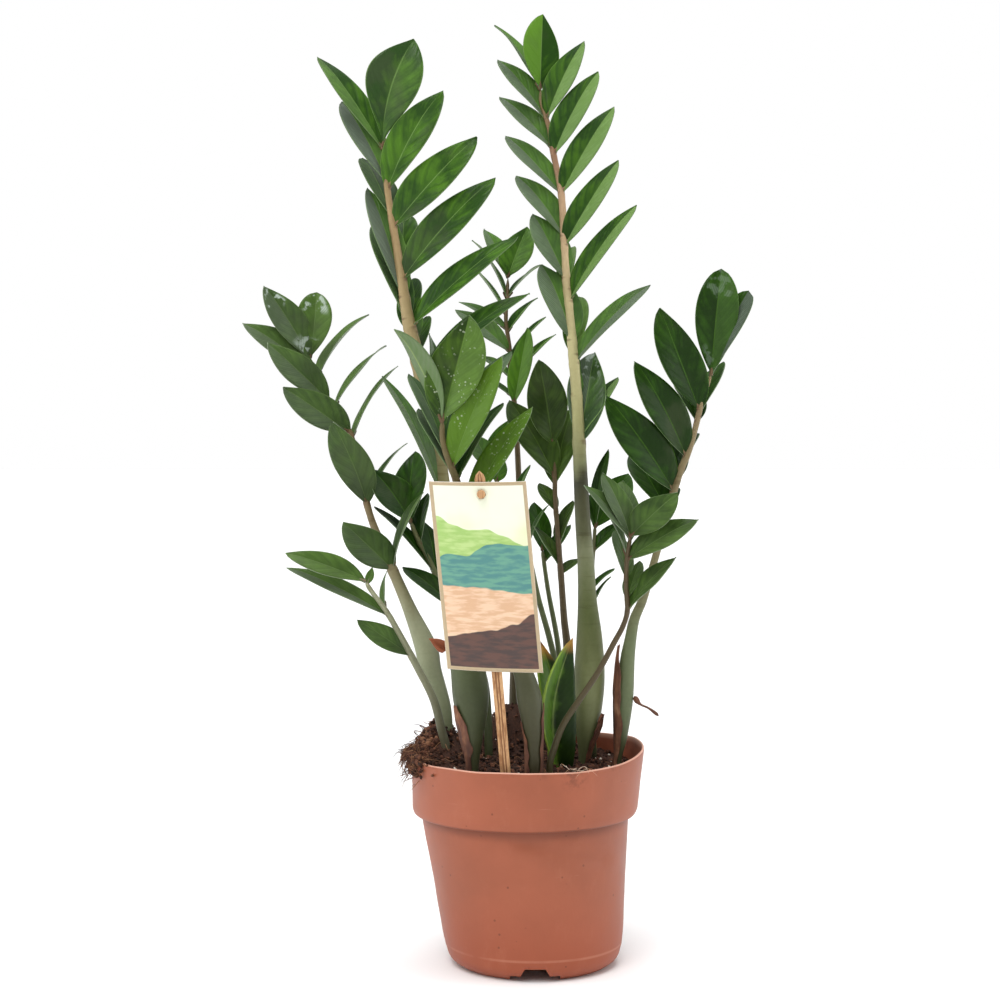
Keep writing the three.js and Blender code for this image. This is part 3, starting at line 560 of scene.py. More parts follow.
peat_finish, start = new_finish("moist_peat", 0.25)
where = start.coordinates()
tone = start.mark("tone")
fleck = where.noise(420.0, 5.0, 0.7)
brown = tone.node("ValToRGB", {0: tone + (fleck - 0.5) * 0.35}, stops=(
    (0.0, rgb(22, 13, 9)), (0.3, rgb(62, 39, 29)), (0.5, rgb(108, 69, 51)), (0.8, rgb(158, 118, 84)),
    (0.95, rgb(222, 212, 198))))
feed(peat_finish, brown, fleck.between(0, 1, 0.75, 0.95), fleck, 0.0008)
for piece in (peat, crumbs, fibres):
    piece.data.materials.append(peat_finish)
    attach(piece, "root")
    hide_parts("soil")

# ---------------------------------------------------------------------------------------------
# Fronds. Thirteen upright leaves, each a fleshy stalk with two rows of waxy leaflets, which grow
# on short dark joints. The stalks swell near the peat and turn from green to tan towards the top.

# A stalk is a list of [right, back, up, radius] off the pot's axis in millimetres, and lean is how
# far its top then moves away from the camera, along the line of sight. A leaflet is [height of its
# joint before the lean, right, up, back, width, turn]: three steps from the joint to the tip, the
# width, and how far it is rolled about its midrib, from facing the camera (0) to facing right (90) or
# left (-90). What else sets a leaflet apart comes last: tone makes it darker or paler, halves says
# which half is painted paler as a sheen and how strongly the halves are painted apart in light and
# shade (the left half below 0), grey how far that painted sheen turns grey, edges the curve of the
# other half and of that one (a power at the root and one at the tip), bow how far the midrib swings
# aside, fold how far it is closed, gleam how strong its painted highlights are, and marks adds dried
# drops of hard water. A frond's looks are those of all its leaflets, and pale how much the halves'
# painted light and shade differ on its right side and on its left.
FRONDS = {
    "frond_tall_left": {"lean": -20, "looks": {"pale": (0.02, 1.0), "tone": -0.3}, "stalk": [
        [-35, -41, 100, 5], [-36, -43, 112, 12], [-37.5, -45, 126, 7], [-39.5, -47, 142, 4.2],
        [-39.6, -47, 155, 4.4], [-40.3, -46, 172, 7.8], [-41, -45, 200, 12.8], [-43.2, -44, 221, 12.4],
        [-47, -43, 242, 11], [-54, -40, 299, 7.6], [-62, -35, 355, 5.6], [-65, -33, 377, 5.3],
        [-79.4, -30, 441, 5], [-86, -28, 470, 4.3], [-94, -25, 520, 2.9], [-100, -22, 556, 2.3],
        [-104.5, -20, 594, 1.5],
    ], "leaflets": [
        [594, 22, 75, -18, 40, 0, {"halves": 0.15, "grey": 0.3, "tone": -0.4, "bow": -0.07,
            "edges": ((1.9, 1.1), (1.5, 0.9))}],
        [592, -45, 66, 10, 20, 36, {"halves": -0.4, "grey": 0.25}],
        [568, -31, 58, 14, 26, 32, {"halves": -1.3, "grey": 1.0}],
        [543, -20, 43, 30, 25, 45, {"halves": -0.4, "grey": 0.6, "tone": -0.6}],
        [485, -25, 79, 12, 23, 32, {"halves": -1.3, "grey": 1.0}],
        [470, -24, 68, 24, 24, 38, {"halves": -0.3, "grey": 0.5, "tone": -0.6}],
        [454, -12, 45, 34, 22, 50], [563, 38, 70, -20, 31, -25], [536, 58, 64, -24, 31, -25],
        [498, 65, 73, -24, 29, -25], [464, 75, 66, -20, 26, -46], [428, 75, 62, -8, 24, -54],
        [499, 2, 47, 36, 24, -10], [461, 1, 39, 38, 20, -20], [441, 6, 32, 34, 18, -30],
        [400, 1, 60, 34, 20, 60], [338, -42, 92, -14, 20, 58],
    ]},
    "frond_tall_right": {"lean": 45, "looks": {"pale": (1.1, 1.1)}, "stalk": [
        [37, 10, 100, 4.5], [38, 11, 112, 9.5], [39.5, 12, 126, 6], [41, 12, 140, 4.2], [42, 12, 152, 4.4],
        [44, 12, 177, 9.6], [45.6, 12, 207, 11.4], [45.6, 12, 236, 9.7], [44, 11, 266, 7],
        [42.7, 11, 295, 6.2], [40.5, 10, 325, 5.7], [39, 10, 354, 5.3], [36, 9, 413, 4.1],
        [32.3, 8, 457, 3.6], [29.3, 7, 486, 3.3], [27, 6, 514, 3], [24.2, 5, 563, 2.5],
        [17.6, 4, 596, 2.1], [15.4, 4, 610, 1.8], [9.5, 4, 629, 1.6], [8.8, 4, 640, 1.4],
    ], "leaflets": [
        [639, 2, 55, -12, 28, 0, {"halves": -0.6, "grey": -0.7, "tone": -0.1}],
        [638, -33, 49, 8, 20, 62, {"halves": -0.8, "grey": 1.0, "tone": 0.3}], [616, -36, 46, 14, 20, 34],
        [595, -39, 40, 14, 20, 34], [563, -41, 44, 14, 21, 36], [532, -35, 46, 10, 24, 34],
        [501, -24, 49, 4, 28, 30], [456, -22, 57, 4, 31, 30], [416, -7, 42, 22, 18, 60],
        [617, 27, 58, -16, 24, -32], [591, 32, 62, -18, 26, -32], [563, 38, 65, -18, 25, -32],
        [525, 39, 64, -18, 24, -36], [484, 49, 73, -18, 22, -46],
        [440, 55, 59, -14, 21, -52, {"grey": 0.9, "tone": -0.3}], [493, 3, 33, 36, 17, -40],
        [446, 4, 44, 34, 20, -20],
        [381, 11, 68, 24, 31, -15, {"halves": -0.6, "grey": 1.0, "tone": -0.4, "gleam": 0.8}],
        [383, 28, 48, 16, 20, -50],
    ]},
    "frond_left": {"lean": 40, "looks": {"pale": (0.5, 0.7), "tone": -0.12}, "stalk": [
        [-48, 9, 102, 4.5], [-50, 9, 113, 9.5], [-54, 10, 128, 5.5], [-57.5, 10, 143, 3.8],
        [-58.8, 10, 159, 3.8], [-62.5, 10, 185, 6.2], [-72, 10, 214, 8.4], [-74.6, 10, 229, 8.4],
        [-86.6, 10, 258, 5.2], [-97.8, 10, 284, 4], [-106.6, 10, 304, 3.3], [-116, 11, 328, 2.6],
        [-124, 11, 360, 2.3], [-130.8, 11, 389, 2], [-141.9, 11, 406, 1.8], [-155, 12, 429, 1.6],
        [-160.2, 12, 445, 1.4],
    ], "leaflets": [
        [444, 5, 49, -6, 27, 0, {"halves": 0.2, "tone": 0.2, "gleam": 0.9,
            "edges": ((1.05, 0.6), (1.05, 0.6))}],
        [443, -34, 55, -16, 26, 25, {"gleam": 1.0}], [433, -53, 38, -18, 24, 40],
        [413, -45, 43, -22, 25, 25], [389, -49, 34, -26, 27, 20], [336, -25, 61, -24, 28, 10],
        [429, 38, 49, 20, 19, -66, {"grey": 1.0, "halves": 0.9, "tone": 0.2, "fold": 22, "bow": -0.03}],
        [407, 38, 48, 22, 19, -74, {"grey": 0.9, "halves": 0.9, "tone": 0.5, "fold": 10, "bow": 0.01}],
        [385, 33, 55, 24, 18, -74, {"grey": 0.9, "halves": 0.9, "tone": 0.5, "fold": 10, "bow": 0.0}],
        [337, 29, 46, 28, 14, -74], [288, -36, 35, -24, 28, 15], [288, 21, 58, -24, 17, -70],
    ]},
    "frond_low_left": {"lean": -40, "looks": {"pale": (0.9, 0.9), "tone": 0.15}, "stalk": [
        [-56, -12, 120, 3], [-57, -11, 128, 5.5], [-58.6, -10, 142, 3], [-60.2, -10, 162, 3.2],
        [-62.4, -10, 170, 3.2], [-68.9, -10, 195, 3], [-80.5, -10, 218, 2.6], [-94.3, -10, 244, 2.2],
        [-103, -10, 259, 1.9], [-114.6, -10, 275, 1.6], [-118.2, -10, 281, 1.4],
    ], "leaflets": [
        [281, -56, 21, -14, 19, 36, {"halves": -0.25, "grey": 0.3, "tone": 0.35}], [279, 4, 12, 4, 6, 0],
        [256, -72, 36, -16, 16, 50], [260, 0, 28, 8, 11, -70],
        [227, -38, 26, -16, 18, 30, {"halves": -0.1, "tone": -0.1}],
    ]},
    "frond_front": {"lean": -40, "looks": {"pale": (0.4, 0.7)}, "stalk": [
        [2, -50, 100, 5], [3, -52, 112, 10], [4, -55, 126, 6.5], [4, -57, 140, 5.6], [3.5, -58, 154, 5.6],
        [3.5, -58, 170, 5.8], [2, -59, 188, 7.6], [0.3, -60, 202, 8.8], [-4.2, -60, 221, 6.9],
        [-16, -60, 251, 5.4], [-28.7, -60, 286, 4.2], [-40.6, -60, 321, 3.2], [-51, -61, 356, 2.5],
        [-55.2, -61, 367, 2.3], [-60.4, -62, 384, 2], [-60.8, -62, 399, 1.6],
    ], "leaflets": [
        [398, 18, 71, -20, 39, -8, {"halves": 0.6, "tone": -0.15, "marks": True}],
        [397, -31, 64, -26, 26, 125],
        [364, 33, 77, -30, 25, -24, {"halves": 0.2, "tone": 0.9, "marks": True}],
        [371, -26, 59, 14, 22, 50, {"halves": -0.5, "tone": -0.6}],
        [357, -25, 49, 16, 24, 50, {"halves": -0.5, "tone": -0.8}],
        [332, 44, 75, -4, 21, -36, {"halves": 0.2, "tone": 0.9, "marks": True}],
        [376, 44, 70, 16, 22, -40, {"halves": 0.5, "grey": 0.8, "tone": -0.8, "gleam": 0.3}],
        [356, 31, 54, 16, 22, -60, {"tone": -0.7}],
    ]},
    "frond_dark_left": {"lean": 18, "looks": {"pale": (0.2, 0.2), "tone": -0.65}, "stalk": [
        [-26, 17, 118, 3], [-27, 17, 128, 6], [-28.5, 18, 142, 3], [-28.8, 18, 152, 3.1],
        [-29.6, 18, 180, 3.1], [-32.5, 18, 206, 3], [-41.4, 18, 232, 2.8], [-54, 18, 258, 2.6],
        [-68, 18, 284, 2.3], [-74.6, 18, 298, 2], [-79.8, 18, 307, 1.8], [-87, 18, 324, 1.5],
    ], "leaflets": [
        [323, 3, 53, 8, 28, -20], [322, -29, 41, -2, 29, 30], [307, 5, 38, 14, 18, -50],
        [283, -45, 53, 10, 18, 68], [258, -38, 32, -8, 20, 50], [284, -8, 40, 16, 18, 30],
    ]},
    "frond_dark_centre": {"lean": 20, "looks": {"pale": (0.2, 0.2)}, "stalk": [
        [21, 31, 118, 3], [22, 31, 128, 6], [23, 32, 142, 3], [23.9, 32, 152, 3.2], [28.3, 32, 189, 3.3],
        [29.8, 32, 227, 3], [27.6, 32, 249, 2.6], [25.4, 32, 279, 2.3], [23.1, 32, 309, 2],
        [20.9, 32, 338, 1.8], [20.1, 32, 368, 1.6], [18.6, 32, 381, 1.5],
    ], "leaflets": [
        [380, -10, 63, -26, 31, 8, {"halves": 0.15, "edges": ((0.9, 0.82), (0.9, 0.82))}],
        [355, -34, 59, 8, 29, 20], [350, 14, 60, 20, 28, -20], [330, -12, 22, 14, 13, 30],
        [305, 10, 34, 14, 15, -50], [288, -19, 32, 12, 13, 55], [283, 13, 12, 8, 10, -50],
    ]},
    "frond_back": {"lean": 70, "looks": {"pale": (0.8, 0.8)}, "stalk": [
        [-9, 53, 118, 3], [-9.5, 54, 128, 6], [-10, 55, 146, 3.4], [-10, 55, 186, 3.5], [-7.6, 55, 262, 3],
        [-6, 55, 338, 2.4], [-7.6, 55, 383, 2.1], [-9.8, 55, 413, 1.9], [-12.9, 55, 436, 1.7],
        [-12.9, 55, 451, 1.6], [-15.9, 55, 472, 1.5], [-15.1, 55, 489, 1.4], [-14.4, 55, 506, 1.3],
    ], "leaflets": [
        [506, 15, 39, -10, 26, -10], [505, -18, 39, 8, 18, 35], [489, -26, 47, 10, 15, 84],
        [477, -33, 45, 12, 15, 84], [466, -37, 23, 10, 15, 62], [449, -42, 34, -14, 18, 35],
        [430, -23, 17, -10, 13, 60], [415, -33, 20, 10, 11, 70], [490, 27, 27, 10, 15, -84],
        [464, 23, 28, 10, 15, -68], [440, 27, 38, 8, 15, -72], [425, 33, 40, 6, 15, -70],
        [411, 10, 58, -16, 18, -15, {"tone": 0.35}],
    ]},
    "frond_shoot_pale": {"lean": 18, "looks": {"pale": (0.5, 0.5)}, "stalk": [
        [25, 48, 122, 2.6], [25.4, 49, 136, 2.4], [25.6, 50, 152, 2.4], [23, 50, 205, 2.4],
        [17.3, 49, 232, 2.3], [9, 48, 262, 2.1], [0, 47, 300, 1.9], [-12, 46, 330, 1.6],
        [-28, 45, 362, 1.4],
    ], "leaflets": [
        [361, 14, 38, 4, 18, -25], [360, -14, 28, 0, 20, 25], [352, 4, 20, -6, 13, 0],
        [327, 12, 38, -2, 13, -60], [300, 16, 36, -2, 11, -80],
    ]},
    "frond_shoot_dark": {"lean": 30, "looks": {"pale": (0.3, 0.3)}, "stalk": [
        [29, 62, 122, 2.4], [29, 61, 138, 2.2], [28.5, 60, 152, 2.3], [24, 58, 224, 2.1],
        [15.9, 57, 270, 1.8], [11.6, 56, 300, 1.4],
    ], "leaflets": [
        [299, -6, 38, 8, 18, 15], [290, 20, 30, 6, 13, -45],
    ]},
    "frond_low_right": {"lean": -45, "looks": {"pale": (0.2, 0.5), "tone": -0.08}, "stalk": [
        [16.5, -50, 127, 3], [15.8, -51, 138, 2.6], [14.8, -52, 153, 2.4], [16.9, -51, 162, 2.4],
        [24, -48, 181, 2.3], [35.4, -43, 198, 2.2], [48.9, -38, 217, 2.1], [61.9, -34, 240, 2],
        [67.6, -31, 250, 1.9], [71, -29, 261, 1.8], [70.2, -27, 280, 1.7], [70.9, -26, 299, 1.5],
        [73.6, -25, 315, 1.3],
    ], "leaflets": [
        [315, 32, 30, -18, 24, -15], [314, -19, 45, -8, 18, 30], [313, -31, 38, -16, 17, 50],
        [312, -5, 42, 20, 20, 10], [298, 49, 29, -22, 22, -40], [300, -21, 42, 6, 15, 75],
        [285, -7, 34, 14, 17, 40], [262, 33, 38, -14, 18, -55], [270, 9, 27, 10, 13, -30],
    ]},
    "frond_small_right": {"lean": 40, "looks": {"pale": (0.3, 0.3)}, "stalk": [
        [49, 37, 124, 2.4], [49.6, 36, 138, 2.2], [50, 35, 152, 2.2], [46.5, 34, 190, 2.1],
        [47.7, 33, 234, 2], [48.4, 32, 283, 1.6], [50.6, 31, 320, 1.3],
    ], "leaflets": [
        [319, -5, 25, 4, 11, 20], [318, 25, 42, 8, 28, -20], [300, 21, 24, 4, 13, -50],
        [272, 17, 16, 4, 9, -70], [258, 14, 24, 6, 8, -75], [318, 9, 60, -4, 13, -42],
    ]},
    "frond_right": {"lean": -30, "looks": {"pale": (0.2, 0.05), "tone": -0.4, "grey": 0.2}, "stalk": [
        [57, 4, 102, 4.5], [58, 4, 113, 9], [61.5, 5, 127, 5], [65.5, 5, 142, 2.8], [67.4, 5, 153, 2.8],
        [68.8, 5, 164, 4.4], [71, 5, 193, 6.6], [73.2, 4, 222, 5.4], [75.4, 4, 237, 4.4],
        [78.3, 4, 252, 3.8], [84.1, 3, 266, 3.3], [92.9, 2, 296, 2.7], [106.6, 1, 346, 2.6],
        [111.7, 0, 362, 2.5], [118.3, 0, 378, 2.2], [123.4, -1, 398, 2], [127, -2, 413, 1.8],
        [130.7, -2, 424, 1.6], [133.6, -2, 433, 1.4],
    ], "leaflets": [
        [432, 7, 74, -16, 31, -3, {"halves": 0.4, "edges": ((0.95, 0.62), (0.95, 0.62)), "tone": 0.0,
            "gleam": 0.15}],
        [431, 26, 60, -16, 20, -24, {"halves": 0.9, "grey": 1.0, "tone": -0.25,
            "edges": ((0.9, 0.6), (1.1, 0.4))}],
        [405, -28, 73, -20, 31, 12], [371, -36, 69, -24, 29, 20], [346, -48, 69, -26, 32, 15],
        [400, 17, 41, 26, 20, -50], [397, -13, 32, 30, 22, 30], [354, -12, 47, 28, 24, 30],
        [363, 11, 26, 24, 15, -60], [330, -26, 44, 22, 28, 30], [329, 8, 20, 16, 10, -50],
    ]},
}
VIEWPOINT = Vector((-21, -1500, 400))


def push_back(point, depth):
    """Moves a point away from the camera, along the camera's line of sight to it."""
    sight = point - VIEWPOINT
    return point + sight * (depth / sight.y)


class Stalk:
    """The middle line and the radius of a stalk, found by height."""

    def __init__(self, rows, lean=0.0):
        self.lean, self.upright_top = lean, rows[-1][2]
        self.rows = []
        for *spot, radius in rows:
            spot = self.leant(*spot)
            self.rows.append((spot.z, Vector((spot.x, spot.y, radius))))
        self.foot, self.top = self.rows[0][0], self.rows[-1][0]

    def leant(self, x, y, z):
        """Where a point of the upright stalk comes to lie once the stalk leans."""
        share = max(0, (z - PEAT_LEVEL) / (self.upright_top - PEAT_LEVEL))
        return push_back(Vector((x, y, z)), self.lean * share ** 1.6)

    def at(self, height):
        """Middle and radius at a height, on a smooth curve through the rows."""
        height = min(max(height, self.foot), self.top)
        last = len(self.rows) - 1
        low = min(max(i for i in range(last + 1) if self.rows[i][0] <= height), last - 1)
        near = [self.rows[min(max(low + step, 0), last)] for step in (-1, 0, 1, 2)]
        span = near[2][0] - near[1][0]
        slopes = [(near[i + 2][1] - near[i][1]) / (near[i + 2][0] - near[i][0]) * span for i in (0, 1)]
        t = (height - near[1][0]) / span
        spot = (near[1][1] * (2 * t ** 3 - 3 * t * t + 1) + slopes[0] * (t ** 3 - 2 * t * t + t)
                + near[2][1] * (3 * t * t - 2 * t ** 3) + slopes[1] * (t ** 3 - t * t))
        return Vector((spot.x, spot.y, height)), max(spot.z, 0.8)


def leaf_outline(t, root, tip):
    """Width along the midrib: the higher a power is, the more slowly the leaflet widens there."""
    widest = root / (root + tip)
    return (t / widest) ** root * ((1 - t) / (1 - widest)) ** tip


def leaflet(bm, joint, right, up, back, width, turn, tone=0.0, halves=None, grey=None, bow=None,
            edges=((0.75, 1.05), (1.0, 0.7)), marks=False, fold=15, pale=(0.5, 0.5), gleam=0.0):
    """A folded, arched blade with a slightly waved edge, whose outer half bulges nearer the tip."""
    # halves and grey set the painted sheen and shade of the two halves.
    if halves is None:
        halves = min(max(-turn / 32, -1), 1) * pale[turn > 0]
    if grey is None:
        grey = 0.85 if turn > 0 else 0.2
    if bow is None:
        bow = chance.uniform(-0.02, 0.02)
    reach = push_back(joint + Vector((right, 0, up)), back) - joint
    length = reach.length
    along = reach.normalized()
    facing = Vector((0, -1, 0)) + along * along.y
    facing.normalize()
    twist = chance.uniform(-7, 7)
    wave, phase = chance.uniform(0.01, 0.035), chance.uniform(0, math.tau)

    def spot(u, v):
        side = 2 * u - 1
        roll = Matrix.Rotation(math.radians(turn + twist * (v - 0.5)), 3, along)
        front = roll @ facing
        across = along.cross(front)
        outline = leaf_outline(v, *edges[side * halves > 0])
        half = max(outline * width, 2.4 * (1 - v) ** 6) / 2
        bend = math.radians(fold * (1.3 - 0.6 * v))
        middle = joint + along * length * v + (front * 0.045 + across * bow) * length * 4 * v * (1 - v)
        middle -= front * 0.03 * length * max(0, v - 0.7) ** 2 / 0.09
        rise = half * math.sin(bend) * (1.35 * abs(side) - 0.35 * side * side)
        rise += wave * width * side * abs(side) * math.sin(phase + 8 * v)
        return metres(*(middle + across * half * math.cos(bend) * side + front * rise))

    rows = 30 if length > 45 else 22
    lay_grid(bm, 12, rows, spot, finish=2 if marks else 0, tone=tone + chance.uniform(-0.16, 0.16),
             halves=halves, grey=grey, gleam=gleam)


def thicken(piece, thickness, offset=-1.0, under=0):
    """Gives a sheet its thickness. Its other face and rim take a finish that many further on."""
    sheet = piece.modifiers.new("thickness", "SOLIDIFY")
    sheet.thickness = thickness
    sheet.offset = offset
    sheet.material_offset = sheet.material_offset_rim = under


def leaf_finish(name, *shades, sheen_veil=0.0, speckled=False):
    """The upper face of the leaflets: waxy, with one half painted paler as a sheen and the halves painted
    apart in light and shade, painted highlights, a fine midrib and sunken veins.
    """
    # Deep and fresh green; the pale green of the painted sheen, which also tints the midrib and margin; and
    # the grey of the painted sheen.
    deep, fresh, pale, grey_sheen = (rgb(*shade) for shade in shades)
    finish, start = new_finish(name, 0.11)
    across, along, _ = start.coordinates("UV").parts()
    where = start.coordinates()
    tone, halves, grey, gleam = map(start.mark, ("tone", "halves", "grey", "gleam"))
    side = abs(across * 2 - 1)
    clouds = where.noise(45.0, 3.0, 0.55)
    wander = where.noise(160.0, 2.0, 0.5)
    slant = along - side ** 1.1 * 0.3 + clouds * 0.12 + wander * 0.03
    pleats = (slant * 34).maths("SINE") * side.between(0.0, 0.3) * clouds.between(0.3, 0.6)
    veins = (slant * 74).maths("SINE") * side.between(0.05, 0.3) * wander.between(0.35, 0.6)
    lines = ((along - side * 0.3) * 150 + clouds * 4).maths("SINE")
    # Painted light and shade: lean picks the half that halves names. While grey is low, that half is painted
    # brighter and the other darker, and the other way round while grey is high.
    lean = across.between(0.488, 0.512, -1, 1) * halves
    shade = clouds.between(0.3, 0.7) * 0.6 + tone * 0.8 + 0.15 + pleats * 0.15 + veins * 0.08
    shade = shade + wander * 0.3 - 0.15 + lines * 0.02 + lean * (0.5 - grey * 0.85)
    colour = shade.mix(deep, fresh)
    bruise = where.noise(26.0, 3.0, 0.6).between(0.52, 0.68) * 0.4
    colour = bruise.mix(colour, rgb(58, 66, 44))
    # Painted sheen: a grey veil over the whole blade, as strong as grey and the finish's veil share say.
    colour = (grey.maths("MAXIMUM", 0.0) * sheen_veil).mix(colour, grey_sheen)
    # Painted sheen: the picked half turns to the pale green, or towards grey as grey rises, with painted
    # streaks along its veins. A grey well below zero takes it away.
    lit = wander * 0.6 + lines * (grey * 0.22 + 0.04) + veins * 0.1 + 0.56
    lit = lit * lean.maths("MAXIMUM", 0.0) * grey.between(-1.0, -0.3)
    colour = (lit * 0.85).mix(colour, grey.mix(pale, grey_sheen))
    midrib = side.between(0.045, 0.012) * along.between(1.0, 0.8)
    colour = (midrib * 0.5).mix(colour, pale)
    edge = side.between(0.955, 0.985)
    colour = (edge * 0.55).mix(colour, pale)
    # Painted highlight: pale glints near the base and the tip of the blade, as strong as gleam says.
    shine = (clouds * 0.5 + wander * 0.5).between(0.52, 0.58) * side.between(0.9, 0.6) * gleam
    shine = shine * (along.between(0.34, 0.2) + along.between(0.66, 0.78)) * (lines * 0.2 + 0.7)
    colour = (shine * 0.85).mix(colour, rgb(196, 208, 200))
    gloss = clouds.between(0, 1, 0.29, 0.43) + veins * 0.03
    if speckled:
        marks = where.cells(400.0).between(0.32, 0.2) * where.noise(120.0).between(0.45, 0.6)
        marks = marks * where.noise(35.0).between(0.42, 0.6)
        colour = (marks * 0.6).mix(colour, rgb(176, 186, 160))
        gloss = gloss + marks * 0.4
    feed(finish, colour, gloss, pleats * 0.5 + veins * 0.25 - midrib * 0.9 + clouds * 0.5, 0.0002)
    return finish


def under_finish(name, pale, grey):
    """The underside: duller and greyer, with fine lines that run out along the side veins."""
    finish, start = new_finish(name, 0.28)
    across, along, _ = start.coordinates("UV").parts()
    where = start.coordinates()
    side = abs(across * 2 - 1)
    slant = along - side ** 1.3 * 0.24
    lines = (slant * 70 + where.noise(60.0) * 4).maths("SINE")
    shade = where.noise(50.0, 3.0).between(0.3, 0.7) * 0.7 + lines * 0.16 + 0.15
    colour = shade.mix(pale, grey)
    midrib = side.between(0.08, 0.03)
    colour = (midrib * 0.5).mix(colour, rgb(138, 156, 92))
    feed(finish, colour, shade.between(0, 1, 0.42, 0.55), lines * 0.2 + midrib, 0.00012)
    return finish


def stalk_finish(name, *zones):
    """Fleshy stalks: a colour for each height in millimetres, darker blotches, and brown scars."""
    finish, start = new_finish(name, 0.3)
    where = start.coordinates()
    tone = start.mark("tone")
    blotches = where.noise(75.0, 4.0, 0.6, stretch=(1, 1, 0.45))
    rings = where.noise(40.0, 3.0, 0.6, stretch=(0.4, 0.4, 6.0))
    fine = where.noise(420.0, 3.0, 0.6)
    height = (where.parts()[2] + (blotches - 0.5) * 0.03) * (1 / 0.7)
    colour = height.node("ValToRGB", {0: height},
                         stops=[(up / 700, rgb(*shade)) for up, *shade in zones])
    colour = (blotches.between(0.45, 0.7) * 0.3).mix(colour, (0.6, 0.63, 0.56, 1), "MULTIPLY")
    ringed = height.between(0.33, 0.4) * height.between(0.56, 0.5) * 0.6 + 0.1
    colour = (rings.between(0.55, 0.68) * ringed).mix(colour, (0.62, 0.57, 0.46, 1), "MULTIPLY")
    colour = (fine.between(0.3, 0.7) * 0.16).mix(colour, (0.6, 0.6, 0.55, 1), "MULTIPLY")
    scar = (tone + (fine - 0.5) * 0.4).between(0.3, 0.95)
    colour = (scar * 0.7).mix(colour, rgb(84, 58, 38))
    feed(finish, colour, fine.between(0, 1, 0.42, 0.55), fine * 0.2 + rings * 0.3 + scar * 0.8, 0.0002)
    return finish


green_leaf = leaf_finish(
    "leaf_fresh_upper", (30, 62, 6), (78, 122, 22), (114, 146, 78), (100, 112, 96), sheen_veil=0.24)
marked_leaf = leaf_finish(
    "leaf_marked_upper", (34, 54, 16), (76, 108, 28), (96, 128, 54), (96, 112, 88), speckled=True)
olive_leaf = leaf_finish(
    "leaf_olive_upper", (38, 58, 20), (76, 104, 42), (100, 122, 72), (98, 110, 90), sheen_veil=0.14)
dark_leaf = leaf_finish("leaf_dark_upper", (22, 46, 4), (48, 84, 16), (70, 106, 34), (92, 104, 90))
shaded_leaf = leaf_finish("leaf_shaded_upper", (32, 48, 14), (64, 88, 30), (88, 114, 50), (78, 92, 70))
green_under = under_finish("leaf_fresh_under", rgb(80, 106, 56), rgb(98, 114, 82))
olive_under = under_finish("leaf_olive_under", rgb(100, 118, 82), rgb(122, 132, 112))
stalk_tan_left = stalk_finish(
    "stalk_tan_left", (146, 60, 64, 38), (200, 63, 70, 42), (228, 77, 86, 54), (300, 104, 106, 68),
    (430, 140, 126, 86), (470, 152, 134, 94), (540, 156, 130, 92), (610, 128, 112, 70))
stalk_tan_right = stalk_finish(
    "stalk_tan_right", (146, 84, 88, 54), (196, 118, 124, 82), (232, 92, 98, 58), (256, 80, 88, 46),
    (278, 98, 104, 70), (299, 112, 116, 86), (318, 82, 84, 56), (340, 60, 60, 38), (354, 54, 54, 36),
    (368, 118, 120, 84), (400, 164, 160, 112), (460, 196, 186, 138), (540, 190, 160, 126),
    (600, 148, 112, 86), (640, 118, 102, 66))
stalk_pale_left = stalk_finish(
    "stalk_pale_left", (146, 106, 112, 80), (200, 130, 136, 106), (250, 134, 136, 108),
    (290, 122, 112, 80), (350, 112, 92, 62), (440, 98, 84, 54))
stalk_front = stalk_finish(
    "stalk_front", (146, 56, 52, 32), (200, 66, 67, 44), (260, 82, 86, 55), (350, 98, 88, 52),
    (400, 96, 84, 52))
stalk_right_side = stalk_finish(
    "stalk_right_side", (146, 72, 76, 50), (190, 92, 102, 70), (240, 100, 110, 76), (270, 108, 106, 74),
    (330, 118, 106, 74), (440, 130, 112, 80))
stalk_green = stalk_finish("stalk_green", (146, 70, 78, 48), (260, 84, 92, 58), (360, 96, 90, 58))
stalk_brown = stalk_finish("stalk_brown", (146, 62, 58, 34), (240, 76, 64, 42), (500, 92, 76, 48))
stalk_grey = stalk_finish("stalk_grey", (146, 64, 60, 40), (200, 112, 112, 88), (290, 158, 160, 130))

FINISHES = {                      # stalk, upper face and underside of the leaflets, and their slot
    "frond_tall_left": (stalk_tan_left, green_leaf, green_under, "leaf_fresh"),
    "frond_tall_right": (stalk_tan_right, green_leaf, green_under, "leaf_fresh"),
    "frond_left": (stalk_pale_left, olive_leaf, olive_under, "leaf_olive"),
    "frond_low_left": (stalk_grey, olive_leaf, olive_under, "leaf_olive"),
    "frond_front": (stalk_front, green_leaf, green_under, "leaf_fresh"),
    "frond_dark_left": (stalk_green, dark_leaf, olive_under, "leaf_dark"),
    "frond_dark_centre": (stalk_brown, shaded_leaf, olive_under, "leaf_dark"),
    "frond_back": (stalk_brown, green_leaf, green_under, "leaf_fresh"),
    "frond_shoot_pale": (stalk_green, green_leaf, green_under, "leaf_olive"),
    "frond_shoot_dark": (stalk_green, dark_leaf, olive_under, "leaf_dark"),
    "frond_low_right": (stalk_brown, olive_leaf, olive_under, "leaf_fresh"),
    "frond_small_right": (stalk_green, dark_leaf, olive_under, "leaf_dark"),
    "frond_right": (stalk_right_side, dark_leaf, olive_under, "leaf_dark"),
}
stalks = {}
